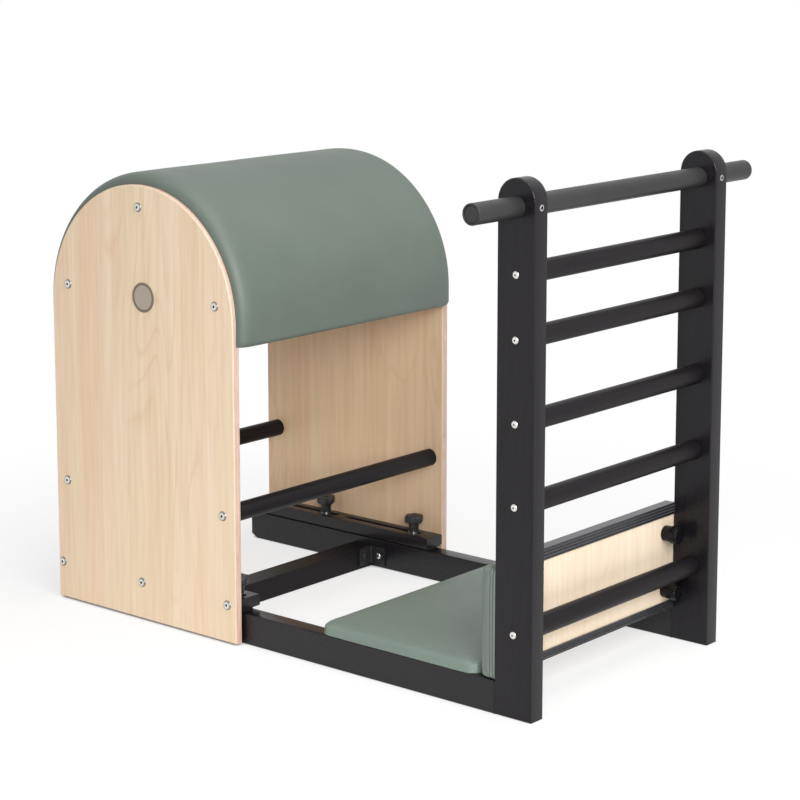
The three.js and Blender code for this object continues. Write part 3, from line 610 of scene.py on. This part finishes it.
def outward(piece, merge=1e-6):
    """Merges doubles and turns all faces outwards."""
    work = bmesh.new()
    work.from_mesh(piece.data)
    bmesh.ops.remove_doubles(work, verts=work.verts, dist=merge)
    bmesh.ops.recalc_face_normals(work, faces=work.faces)
    if work.calc_volume(signed=True) < 0:
        bmesh.ops.reverse_faces(work, faces=work.faces)
    work.to_mesh(piece.data)
    work.free()
    smooth_faces(piece)
    return piece


def apply_modifier(piece, modifier):
    bpy.context.view_layer.objects.active = piece
    bpy.ops.object.modifier_apply(modifier=modifier.name)


print("mesh helpers ready")

# %% [markdown]
# ## The barrel pad
# A sheet of foam bends over the barrel and vinyl is pulled over it and stapled out of sight. It
# could be blown up with cloth, but its form follows a rule, so a formula draws it more evenly: walk
# along a half circle with a short skirt at each end, and at every stop lay down one section across
# the barrel. The section is flat in the middle and rolls down to both panels. At the two hems the
# whole section rounds over to nothing.

# %% Sizes of the barrel pad
pad_low, pad_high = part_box("barrel_pad")
shell_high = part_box("barrel_shell")[1]
board_gap, panel_gap = 0.0004, 0.0002  # left to the bent board and to the panels
pad_axis_x = (pad_low.x + pad_high.x) / 2
pad_radius = (pad_high.x - pad_low.x) / 2
pad_axis_z = pad_high.z - pad_radius
pad_inner = shell_high.x - pad_axis_x + board_gap
pad_half = pad_high.y - panel_gap
pad_skirt = pad_axis_z - pad_low.z
pad_full = pad_radius - pad_inner
end_thickness, shoulder, fullness, hem = 0.0155, 0.032, 0.80, 0.012
bulge = 0.0095  # how far the roll leans out over the edge of each panel
print("barrel pad: radius", round(pad_radius, 4), "thickness", round(pad_full, 4))

# %% Stops along the barrel and section across it
def pad_stops(hem_steps=8, skirt_steps=5, arch_steps=150):
    """(angle, drop below the axis, what the thickness loses) from the front to the rear hem."""
    stops = []
    for i in range(hem_steps + 1):
        turn = math.pi / 2 * i / hem_steps
        drop = pad_skirt - hem * (1 - math.cos(turn))
        stops.append((0.0, drop, hem * (1 - math.sin(turn))))
    for i in range(1, skirt_steps):
        stops.append((0.0, (pad_skirt - hem) * (1 - i / skirt_steps), 0.0))
    front = list(stops)
    stops += [(math.pi * i / arch_steps, 0.0, 0.0) for i in range(arch_steps + 1)]
    return stops + [(math.pi, drop, lost) for _, drop, lost in reversed(front)]


def pad_section(shoulder_steps=14, flat_steps=40, tuck=0.002, tuck_round=0.0004):
    """(place across the barrel, thickness) pairs from one panel to the other."""
    section = [(-pad_half, end_thickness - tuck), (-pad_half, end_thickness - tuck_round)]
    for i in range(shoulder_steps + 1):
        turn = math.pi / 2 * i / shoulder_steps
        lean = bulge * math.cos(turn) ** 0.5
        across = shoulder * (1 - math.cos(turn) ** fullness) - pad_half - lean
        rise = (pad_full - end_thickness) * math.sin(turn) ** fullness
        section.append((across, end_thickness + rise))
    roll = list(section)
    start = roll[-1][0]
    section += [(start * (1 - 2 * i / flat_steps), pad_full) for i in range(1, flat_steps)]
    return section + [(-across, thick) for across, thick in reversed(roll)]


print("barrel pad:", len(pad_stops()), "stops of", len(pad_section()), "points each")

# %% [markdown]
# Stretched vinyl is never quite even: foam gives a little between the staples. A slow wave of
# under a millimetre makes the light break up as it does on a real pad, and never lifts the cover
# above its solid.

# %% Lay the sections into one closed skin
def uneven(angle, across, thick, deepest=0.0005):
    """How far the vinyl dips at a place, nothing where the pad thins out."""
    wave = math.sin(across * 13 + angle * 2.1 + 0.7) * math.sin(angle * 5.3 + across * 6 + 0.4)
    return deepest * (1 - wave) * min(thick / pad_full, 1.0)


def pad_point(reach, angle, across, drop):
    return (pad_axis_x + reach * math.cos(angle), across,
            pad_axis_z + reach * math.sin(angle) - drop)


def barrel_cover_mesh():
    stops, section = pad_stops(), pad_section()
    wide = len(section)
    points = []
    for angle, drop, lost in stops:
        for across, thick in section:
            reach = pad_inner + max(thick - lost - uneven(angle, across, thick), 0.0)
            points.append(pad_point(reach, angle, across, drop))
    under = len(points)
    points += [pad_point(pad_inner, angle, across, drop)
               for angle, drop, _ in stops for across, _ in section]
    faces = []
    for row in range(len(stops) - 1):
        for i in range(wide - 1):
            a, b = row * wide + i, (row + 1) * wide + i
            faces.append((a, a + 1, b + 1, b))
            faces.append((under + b, under + b + 1, under + a + 1, under + a))
        for i in (0, wide - 1):
            a, b = row * wide + i, (row + 1) * wide + i
            faces.append((a, b, under + b, under + a))
    for row in (0, len(stops) - 1):
        for a in range(row * wide, row * wide + wide - 1):
            faces.append((a, a + 1, under + a + 1, under + a))
    mesh = bpy.data.meshes.new("barrel_pad_cover")
    mesh.from_pydata(points, [], faces)
    mesh.materials.append(green_vinyl)
    return mesh


print("skin maker ready")

# %% Barrel cover
barrel_cover = outward(add_piece("barrel_pad_cover", barrel_cover_mesh()), 2e-5)
barrel_cover.data.set_sharp_from_angle(angle=math.radians(60))
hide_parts("barrel_pad")
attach(barrel_cover, "carriage")
points = read_points(barrel_cover.data)
print("barrel cover:", points.min(0).round(4), "to", points.max(0).round(4))
print("its solid:", [round(v, 4) for v in pad_low], "to", [round(v, 4) for v in pad_high])

# %% [markdown]
# ## The two flat pads
# A board, foam and a tight cover: what gives such a pad away is its slightly blown-up edge and the
# pull at its corners. A cloth simulation finds that by itself. The pad starts as a rounded slab a
# little smaller than its solid, the underside is held, and gentle pressure fills the rest.

# %% Rounded slab to start from
def slab_outline(half_a, half_b, corner, corner_steps=6):
    loop = []
    for quarter, (sign_a, sign_b) in enumerate(((1, 1), (-1, 1), (-1, -1), (1, -1))):
        for i in range(corner_steps + 1):
            angle = math.pi / 2 * (quarter + i / corner_steps)
            loop.append((sign_a * (half_a - corner) + corner * math.cos(angle),
                         sign_b * (half_b - corner) + corner * math.sin(angle)))
    return loop


def rounded_slab(name, low, high, thick_axis, corner, edge):
    """A slab between two corners, its outline rounded by corner, its edges by edge."""
    flat_a, flat_b = [axis for axis in range(3) if axis != thick_axis]
    half = [(high[axis] - low[axis]) / 2 for axis in range(3)]
    middle = [(high[axis] + low[axis]) / 2 for axis in range(3)]
    loop = slab_outline(half[flat_a], half[flat_b], corner)
    work = bmesh.new()
    rings = []
    for level in (-1, 1):
        ring = []
        for a, b in loop:
            place = [0.0, 0.0, 0.0]
            place[flat_a], place[flat_b] = middle[flat_a] + a, middle[flat_b] + b
            place[thick_axis] = middle[thick_axis] + level * half[thick_axis]
            ring.append(work.verts.new(place))
        rings.append(ring)
    for i in range(len(loop)):
        j = (i + 1) % len(loop)
        work.faces.new((rings[0][i], rings[0][j], rings[1][j], rings[1][i]))
    work.faces.new(rings[1])
    work.faces.new(list(reversed(rings[0])))
    rim = [line for ring in reversed(rings) for line in work.edges
           if all(point in ring for point in line.verts)]
    bmesh.ops.bevel(work, geom=rim, offset=edge, segments=4, affect="EDGES", profile=0.5)
    mesh = bpy.data.meshes.new(name)
    work.to_mesh(mesh)
    work.free()
    return outward(add_piece(name, mesh))


print("slab maker ready")

# %% Blow up a slab with cloth
def simulate(piece, held, pressure, frames):
    """The points of the piece after some frames of cloth with its held points pinned."""
    pins = piece.vertex_groups.new(name="held")
    pins.add([int(i) for i in np.flatnonzero(held)], 1.0, "REPLACE")
    cloth = piece.modifiers.new("cloth", "CLOTH")
    cloth.settings.vertex_group_mass = "held"
    cloth.settings.use_pressure = True
    cloth.settings.uniform_pressure_force = pressure
    cloth.settings.effector_weights.gravity = 0
    cloth.settings.tension_stiffness = cloth.settings.compression_stiffness = 40
    cloth.settings.bending_stiffness = 4
    cloth.point_cache.frame_start, cloth.point_cache.frame_end = 1, frames
    for step in range(1, frames + 1):
        bpy.context.scene.frame_set(step)
    blown = read_points(piece.evaluated_get(bpy.context.evaluated_depsgraph_get()).data)
    piece.modifiers.remove(cloth)
    bpy.context.scene.frame_set(1)
    piece.vertex_groups.clear()
    return blown


def blow_up(piece, held, voxel=0.005, pressure=4.0, most=0.003, frames=20):
    """Remeshes the piece, blows it up with cloth, and caps how far a point moves."""
    remesh = piece.modifiers.new("remesh", "REMESH")
    remesh.mode, remesh.voxel_size = "VOXEL", voxel
    apply_modifier(piece, remesh)
    start = read_points(piece.data)
    shift = simulate(piece, held(start), pressure, frames) - start
    length = np.linalg.norm(shift, axis=1, keepdims=True)
    shift *= np.minimum(1.0, most / np.maximum(length, 1e-9))
    write_points(piece.data, start + shift)
    return float(np.linalg.norm(shift, axis=1).max())


print("cloth helper ready")

# %% Smooth, fit and trim
def relax(piece, rounds=6):
    """Smooths the voxel steps away, keeping the pad's size, and halves its faces' width."""
    smooth = piece.modifiers.new("relax", "CORRECTIVE_SMOOTH")
    smooth.iterations, smooth.smooth_type = rounds, "LENGTH_WEIGHTED"
    smooth.use_only_smooth = True
    apply_modifier(piece, smooth)
    finer = piece.modifiers.new("finer", "SUBSURF")
    finer.levels = finer.render_levels = 1
    apply_modifier(piece, finer)


def fit_inside(piece, low, high):
    """Scales the piece so that it fills a box."""
    points = read_points(piece.data)
    now_low, now_high = points.min(0), points.max(0)
    low, high = np.array(low), np.array(high)
    write_points(piece.data, (points - now_low) / (now_high - now_low) * (high - low) + low)


def trim_flat(piece, point, way):
    """Cuts the piece off along a plane, throws away what lies beyond it and closes the cut."""
    work = bmesh.new()
    work.from_mesh(piece.data)
    everything = work.verts[:] + work.edges[:] + work.faces[:]
    bmesh.ops.bisect_plane(work, geom=everything, plane_co=point, plane_no=way, clear_outer=True)
    bmesh.ops.contextual_create(work, geom=[edge for edge in work.edges if edge.is_boundary])
    work.to_mesh(piece.data)
    work.free()


def cut_slab(piece, low, high, thick_axis, corner):
    """Cuts a hollow with rounded corners out of a piece."""
    cutter = rounded_slab("cutter", low, high, thick_axis, corner, edge=0.0002)
    cut = piece.modifiers.new("cut", "BOOLEAN")
    cut.operation, cut.solver, cut.object = "DIFFERENCE", "EXACT", cutter
    apply_modifier(piece, cut)
    bpy.data.objects.remove(cutter)


print("shape helpers ready")

# %% Pleats and pressed seams
def pleat(piece, corner, reach, depth, count=7):
    """Pulls shallow folds into the cover that fan out from a corner."""
    points = read_points(piece.data)
    normals = np.zeros(len(points) * 3)
    piece.data.vertices.foreach_get("normal", normals)
    away = points - np.array(corner)
    far = np.linalg.norm(away, axis=1)
    near = np.clip(1 - far / reach, 0, 1) ** 1.5
    turn = np.arctan2(away[:, 2], away[:, 0] + away[:, 1] * 0.7)
    fold = near * (0.5 + 0.5 * np.cos(turn * count))
    write_points(piece.data, points - normals.reshape(-1, 3) * (fold * depth)[:, None])


def press_seam(piece, seam, half_width=0.0009, depth=0.0010):
    """Cuts three lines round the piece at a place along X and pulls the middle one in."""
    work = bmesh.new()
    work.from_mesh(piece.data)
    for place in (seam - half_width, seam, seam + half_width):
        everything = work.verts[:] + work.edges[:] + work.faces[:]
        bmesh.ops.bisect_plane(work, geom=everything, dist=1e-5,
                               plane_co=(place, 0, 0), plane_no=(1, 0, 0))
    work.normal_update()
    for vert in work.verts:
        sideways = Vector((0, vert.normal.y, vert.normal.z))
        if abs(vert.co.x - seam) < 2e-5 and sideways.length > 0.3:
            vert.co -= sideways.normalized() * depth
    work.to_mesh(piece.data)
    work.free()


print("pleat and seam helpers ready")

# %% [markdown]
# The floor pad lies on a thin board between the rails, so its underside is held flat. It has a
# rounded outline, and a hollow underneath for the board, which is cut after the simulation because
# remeshing would lose such a thin wall. The slab starts too deep and is trimmed flat afterwards, so
# the cover reaches straight down to the rails. Small pleats fan out where it was gathered.

# %% Floor pad
gap = Vector((0.0003, 0.0003, 0.0003))  # left between a cover and its board
inset = Vector((0.0015, 0.0015, 0.001))  # how much smaller a slab starts than its solid
held_depth = 0.003
floor_low, floor_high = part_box("floor_pad")
board_low, board_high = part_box("floor_board")
below, swell = Vector((0, 0, 0.012)), Vector((0, 0, 0.001))
open_below = Vector((0, 0, 0.01))  # how far the cutter reaches out of the underside
slab_low, slab_high = floor_low + inset - below, floor_high - inset
floor_cover = rounded_slab("floor_pad_cover", slab_low, slab_high, thick_axis=2,
                           corner=0.024, edge=0.006)
blown = blow_up(floor_cover, lambda points: points[:, 2] < floor_low.z + held_depth)
relax(floor_cover)
fit_inside(floor_cover, floor_low - below, floor_high + swell)
for side in (floor_low.y, floor_high.y):
    for end in (floor_low.x, floor_high.x):
        pleat(floor_cover, (end, side, floor_high.z), reach=0.045, depth=0.0026)
trim_flat(floor_cover, floor_low, (0, 0, -1))
room_low, room_high = board_low - gap - open_below, board_high + gap
cut_slab(floor_cover, room_low, room_high, thick_axis=2, corner=0.028)
floor_cover.data.materials.append(floor_vinyl_painted_light)
smooth_faces(floor_cover)
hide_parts("floor_pad")
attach(floor_cover, "base")
faces = len(floor_cover.data.polygons)
print("floor pad: blown by", round(blown * 1000, 2), "mm,", faces, "faces")

# %% [markdown]
# The heel pad stands against the uprights. Its cover wraps round both ends of its board, over them
# and under them, and between the uprights it stops at the board's edge strips. A double seam runs
# down each end, close to the ladder. It is pressed into the mesh, and the thread darkens it.

# %% Heel pad: the cover
heel_low, heel_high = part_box("heel_pad")
seams = tuple(heel_high.x - back for back in (0.0114, 0.0052))
# painted light: besides its seams, the heel pad's copy of the vinyl is lighter
seamed_vinyl_painted_light = vinyl_material("green_vinyl_seamed_painted_light", (101, 112, 103), seams)
behind = Vector((0.012, 0, 0))
slab_low, slab_high = heel_low + inset, heel_high - inset + behind
heel_cover = rounded_slab("heel_pad_cover", slab_low, slab_high, thick_axis=0,
                          corner=0.005, edge=0.005)
held_from = heel_high.x - 0.018
blown = blow_up(heel_cover, lambda points: points[:, 0] > held_from, voxel=0.004)
relax(heel_cover, 4)
fit_inside(heel_cover, heel_low, heel_high + behind)
for side in (heel_low.y, heel_high.y):
    for level in (heel_low.z, heel_high.z):
        pleat(heel_cover, (heel_high.x - 0.004, side, level), reach=0.050, depth=0.0032)
trim_flat(heel_cover, heel_high, (1, 0, 0))
for seam in seams:
    press_seam(heel_cover, seam)
print("heel pad: blown by", round(blown * 1000, 2), "mm, seams at x", [round(x, 4) for x in seams])

# %% Heel pad: room for the board
wood_low, wood_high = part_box("heel_board")
inner_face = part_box("upright_left")[0].y
top_fold = 0.006  # thickness of the cover above the board's ends
past = 0.01  # how far a cutter reaches out of the cover
ends_high = Vector((wood_high.x + past, wood_high.y, heel_high.z - top_fold)) + gap
cut_slab(heel_cover, wood_low - gap, ends_high, thick_axis=0, corner=0.0004)
between_low = Vector((wood_low.x - gap.x, -inner_face, heel_low.z - past))
between_high = Vector((wood_high.x + past, inner_face, heel_high.z + past))
cut_slab(heel_cover, between_low, between_high, thick_axis=0, corner=0.0004)
heel_cover.data.materials.append(seamed_vinyl_painted_light)
smooth_faces(heel_cover)
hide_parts("heel_pad")
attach(heel_cover, "base")
print("cover beyond the board's ends:", round((wood_low.y - heel_low.y) * 1000, 2), "mm")

# %% [markdown]
# ## Bolts and screws
# Button-head bolts hold each side panel, and screws hold the rungs. They could be set by hand, but
# they are all alike, so one head is made once and a node tree puts a copy on every marked point,
# turned to face out of the wood. Each copy is turned a little differently about its own axis, from
# a fixed seed, as real ones are.

# %% One bolt head
def head_mesh(name, radius, height, socket_radius, socket_depth, rim_painted_shade, sides=6, steps=24):
    """A domed head with a drive socket, its flat foot just below Z = 0 and its dome along +Z."""
    sunk = 0.0006
    profile = [(radius * 0.98, -sunk), (radius, height * 0.12), (radius * 0.95, height * 0.35),
               (radius * 0.80, height * 0.72), (radius * 0.62, height * 0.94),
               (socket_radius * 1.18, height)]
    turns = [2 * math.pi * i / steps for i in range(steps)]
    sector = math.pi / sides
    work = bmesh.new()
    rings = []
    for reach, level in profile:
        rings.append([work.verts.new((reach * math.cos(a), reach * math.sin(a), level))
                      for a in turns])
    for level, squeeze in ((height, 1.0), (height - socket_depth, 0.97)):
        ring = []
        for angle in turns:
            from_flat = (angle % (2 * sector)) - sector
            reach = socket_radius * squeeze * math.cos(sector) / math.cos(from_flat)
            ring.append(work.verts.new((reach * math.cos(angle), reach * math.sin(angle), level)))
        rings.append(ring)
    for lower, upper in zip(rings, rings[1:]):
        for i in range(steps):
            j = (i + 1) % steps
            work.faces.new((lower[i], lower[j], upper[j], upper[i]))
    work.faces.new(list(reversed(rings[0])))
    work.faces.new(rings[-1])
    bmesh.ops.recalc_face_normals(work, faces=work.faces)
    mesh = bpy.data.meshes.new(name)
    work.to_mesh(mesh)
    work.free()
    # painted shade for each ring: dark at the foot, shading the rim, none on the dome, dark at the
    # socket's bottom
    shares = [1.0, rim_painted_shade, rim_painted_shade, rim_painted_shade * 0.85, rim_painted_shade * 0.1]
    shares += [0.0] * (len(rings) - 6) + [1.0]
    painted_shade = mesh.attributes.new("painted_shade", "FLOAT", "POINT")
    painted_shade.data.foreach_set("value", [share for share in shares for _ in range(steps)])
    return add_piece(name, mesh)


# name, radius, height, radius and depth of the socket, painted shade at the rim
bolt_head = head_mesh("bolt_head", 0.0100, 0.0034, 0.0032, 0.0026, 0.75)
screw_head = head_mesh("screw_head", 0.0070, 0.0022, 0.0020, 0.0016, 0.15)
set_screw = head_mesh("set_screw", 0.0062, 0.0008, 0.0040, 0.0006, 0.5)
print("heads:", len(bolt_head.data.polygons), "faces each")

# %% Tree that sets heads on points
def make_fastener_tree():
    group, tree, start = new_tree("fasteners", {
        "Head": ("Object", None), "Size": ("Float", 1.0), "Seed": ("Int", 7),
        "Material": ("Material", None)})
    head = tree.add("GeometryNodeObjectInfo", {"Object": start["Head"]}).outputs["Geometry"]
    wires = {"Name": "facing"}
    named = tree.add("GeometryNodeInputNamedAttribute", wires, data_type="FLOAT_VECTOR")
    wires = {"Vector": named.outputs["Attribute"]}
    upright = tree.add("FunctionNodeAlignRotationToVector", wires, axis="Z").outputs[0]
    spin = tree.add("FunctionNodeRandomValue", {"Seed": start["Seed"]}, data_type="FLOAT")
    spin.inputs[3].default_value = math.tau
    own = tree.add("ShaderNodeCombineXYZ", {"Z": spin.outputs[1]}).outputs[0]
    wires = {0: upright, 1: own}
    turned = tree.add("FunctionNodeRotateRotation", wires, rotation_space="LOCAL").outputs[0]
    points = tree.add("GeometryNodeMeshToPoints", {"Mesh": start["Geometry"]}).outputs[0]
    wires = {"Points": points, "Instance": head, "Rotation": turned, "Scale": start["Size"]}
    copies = tree.add("GeometryNodeInstanceOnPoints", wires).outputs[0]
    close_tree(tree, copies, start["Material"])
    return group


fastener_tree = make_fastener_tree()
print("fastener tree:", len(fastener_tree.nodes), "nodes")

# %% Set a row of heads
def set_heads(name, places, head, material, body):
    """places holds (point, facing) pairs in the frame that all pieces share, in metres."""
    mesh = bpy.data.meshes.new(name + "_points")
    mesh.from_pydata([point for point, _ in places], [], [])
    facing = mesh.attributes.new("facing", "FLOAT_VECTOR", "POINT")
    facing.data.foreach_set("vector", [v for _, way in places for v in way])
    values = {"Head": head, "Size": 1.0, "Seed": 7, "Material": material}
    piece = run_tree(name, fastener_tree, values, mesh)
    smooth_faces(piece)
    piece.data.set_sharp_from_angle(angle=math.radians(40))
    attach(piece, body)
    print(name + ":", len(places), "heads,", len(piece.data.polygons), "faces")


def middle_of(node_name):
    low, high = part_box(node_name)
    return (low + high) / 2


print("middle of the top bar:", [round(v, 3) for v in middle_of("top_bar")])

# %% [markdown]
# Eight bolts sit on each panel: three hold the stretchers under the shell, two the cross rods, and
# three the batten at the foot. Their places come from the pieces that they hold.

# %% Panel bolts
panel_low, panel_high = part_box("side_panel_left")
bolt_spots = [middle_of(name) for name in ("stretcher_front", "stretcher_top", "stretcher_rear",
                                           "cross_rod_front", "cross_rod_rear")]
rear_inset, middle_inset, front_inset = 0.013, 0.258, 0.024  # of the batten's bolts
batten_level = middle_of("slide_batten_left").z
for x in (panel_low.x + rear_inset, panel_low.x + middle_inset, panel_high.x - front_inset):
    bolt_spots.append(Vector((x, 0, batten_level)))
panel_places = [((spot.x, sign * panel_high.y, spot.z), (0, sign, 0))
                for sign in (-1, 1) for spot in bolt_spots]
set_heads("panel_bolts", panel_places, bolt_head, screw_steel, "carriage")

# %% Ladder screws and set screws
upright_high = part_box("upright_left")[1]
ladder_places = []
for number in range(1, 6):
    spot = middle_of(f"rung_{number}")
    ladder_places += [((spot.x, sign * upright_high.y, spot.z), (0, sign, 0)) for sign in (-1, 1)]
set_heads("ladder_screws", ladder_places, screw_head, screw_steel, "base")
bar_level, upright_middle = middle_of("top_bar").z, middle_of("upright_left").y
front_places = [((upright_high.x, sign * upright_middle, bar_level), (1, 0, 0))
                for sign in (-1, 1)]
set_heads("bar_set_screws", front_places, set_screw, screw_steel, "base")

# %% Bracket bolts
leaf_thickness, leaf_shift = 0.003, 0.0025  # a bolt sits in the middle of its leaf's free part
rail_places, beam_places = [], []
for side, sign in (("left", 1), ("right", -1)):
    low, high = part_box(f"angle_bracket_{side}")
    middle = (low + high) / 2
    wall = high.y if sign > 0 else low.y
    rail_places.append(((middle.x + leaf_shift, wall - sign * leaf_thickness, middle.z),
                        (0, -sign, 0)))
    beam_places.append(((low.x + leaf_thickness, middle.y - sign * leaf_shift, middle.z),
                        (1, 0, 0)))
set_heads("bracket_rail_bolts", rail_places, screw_head, screw_steel, "base")
set_heads("bracket_beam_bolts", beam_places, screw_head, bracket_coat, "base")

for pattern in (bolt_head, screw_head, set_screw):
    bpy.data.objects.remove(pattern)

# %% [markdown]
# ## Filled joints
# Rails and uprights meet flush, and under the lacquer their joint is filled and sanded, so no
# groove shows between them. The solids have softened edges there, which leave a small V. They stay
# as they are, so a slim wedge of the same lacquer fills it on both faces of each rail.

# %% Wedges in the joints of rails and uprights
wedge_faces = ((0, 1, 2, 3), (4, 5, 6, 7), (0, 1, 5, 4), (1, 2, 6, 5), (2, 3, 7, 6), (3, 0, 4, 7))


def wedge_points(rail_end, upright_start, face, into, edge, top):
    """Corners of a wedge that stands in the V between two softened edges."""
    mouth = [(rail_end - edge, face), (upright_start + edge, face)]
    root = [(upright_start, face + into * edge), (rail_end, face + into * edge)]
    return [(x, y, z) for z in (0.0, top) for x, y in mouth + root]


def fill_joints(name, edge=0.002):
    points, faces = [], []
    for side in ("right", "left"):
        rail_low, rail_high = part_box(f"rail_{side}")
        upright_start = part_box(f"upright_{side}")[0].x
        for face, into in ((rail_low.y, 1), (rail_high.y, -1)):
            start, top = len(points), rail_high.z - edge
            points += wedge_points(rail_high.x, upright_start, face, into, edge, top)
            faces += [tuple(start + i for i in loop) for loop in wedge_faces]
    mesh = bpy.data.meshes.new(name)
    mesh.from_pydata(points, [], faces)
    mesh.materials.append(lacquer_z)
    piece = outward(add_piece(name, mesh))
    smooth_faces(piece, smooth=False)
    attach(piece, "base")
    return piece


joint_fillers = fill_joints("joint_fillers")
print("joint fillers:", len(joint_fillers.data.polygons), "faces")

# %% [markdown]
# ## Studio
# A pale floor that keeps a soft shadow, and a world that is plain white to the camera, to mirrors
# and through glass, but gives only even, weaker light to the object. Three large soft lamps stand
# in front, above, and low on the near side, so that faces that look that way are the brightest.

# %% Floor
def seen_ray(tree):
    """1 for rays that a viewer sees, straight on, in a mirror or through glass, else 0."""
    rays = tree.add("ShaderNodeLightPath").outputs
    mirrored = tree.math("MAXIMUM", rays["Is Glossy Ray"], rays["Is Transmission Ray"])
    return tree.math("MAXIMUM", rays["Is Camera Ray"], mirrored)


def fading(tree, distance, near, far, near_value, far_value):
    wires = {"Value": distance, "From Min": near, "From Max": far, "To Min": near_value,
             "To Max": far_value}
    node = tree.add("ShaderNodeMapRange", wires, interpolation_type="SMOOTHSTEP")
    return node.outputs[0]


def make_floor(reach=60.0, pale=0.96, foot_shadow=0.022):
    """Matt near the object, so that it keeps a shadow, with a painted contact shadow at its feet,
    and white further out.
    """
    mesh = bpy.data.meshes.new("studio_floor")
    corners = [(-reach, -reach, 0), (reach, -reach, 0), (reach, reach, 0), (-reach, reach, 0)]
    mesh.from_pydata(corners, [], [(0, 1, 2, 3)])
    floor = add_piece("studio_floor", mesh)
    material, tree, shader, place = start_material("studio_floor")
    material.node_tree.nodes.remove(shader)
    away = tree.vector("LENGTH", place)["Value"]
    seen = seen_ray(tree)
    dim = fading(tree, away, 1.3, 4.5, 0.9, 0.06)  # the far floor throws little light back
    tone = tree.math("ADD", dim, tree.times(seen, tree.minus(pale, dim)))
    matt = tree.add("ShaderNodeBsdfDiffuse", {"Color": tone}).outputs[0]
    # painted contact shadow: occlusion darkens the white glow where the floor meets the object
    wires = {"Distance": foot_shadow}
    open_sky = tree.add("ShaderNodeAmbientOcclusion", wires, samples=12).outputs["AO"]
    contact = tree.mix(tree.times(open_sky, 1.6, clamp=True), paint(60, 50, 44), (1, 1, 1, 1))
    white = tree.add("ShaderNodeEmission", {"Color": contact, "Strength": 1.0}).outputs[0]
    glow = tree.times(seen, fading(tree, away, 0.5, 1.9, 0.67, 1.0))  # the rest keeps shadow
    mixed = tree.add("ShaderNodeMixShader", {0: glow, 1: matt, 2: white}).outputs[0]
    tree.feed(material.node_tree.nodes["Material Output"].inputs["Surface"], mixed)
    mesh.materials.append(material)
    floor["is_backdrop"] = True


make_floor()
print("floor ready")

# %% World
def make_world(light):
    """White to a viewer, and as strong as light says to the object."""
    world = bpy.data.worlds.new("studio")
    bpy.context.scene.world = world
    world.use_nodes = True
    tree = Tree(world.node_tree)
    background = world.node_tree.nodes["Background"]
    strength = tree.math("MULTIPLY_ADD", seen_ray(tree), 1.0 - light, light)
    tree.feed(background.inputs["Strength"], strength)
    background.inputs["Color"].default_value = (1, 1, 1, 1)


make_world(0.37)
print("world ready")

# %% Lamps
def soft_lamp(name, place, target, size, watts):
    data = bpy.data.lights.new(name, "AREA")
    data.shape, data.size, data.energy = "SQUARE", size, watts
    lamp = bpy.data.objects.new(name, data)
    bpy.context.scene.collection.objects.link(lamp)
    lamp.location = place
    lamp.rotation_mode = "QUATERNION"
    lamp.rotation_quaternion = (Vector(target) - Vector(place)).to_track_quat("-Z", "Y")


soft_lamp("front_lamp", (3.9, -1.7, 3.1), (0, 0, 0.5), size=2.6, watts=158)
soft_lamp("top_lamp", (0.9, 0.5, 4.5), (0.1, 0, 0.4), size=3.0, watts=66)
soft_lamp("low_lamp", (3.5, -3.7, 1.9), (-0.3, 0.3, 0.4), size=1.7, watts=130)
bpy.context.scene.view_settings.view_transform = "Standard"

# %% [markdown]
# ## Finish
# The dressed object must keep the size of its solids, so both boxes are written down to compare.

# %% Sizes and finish
seen_low, seen_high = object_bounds()
growth = (seen_high - seen_low) - (cad_high - cad_low)
print("grown by", [round(v * 1000, 2) for v in growth], "mm")
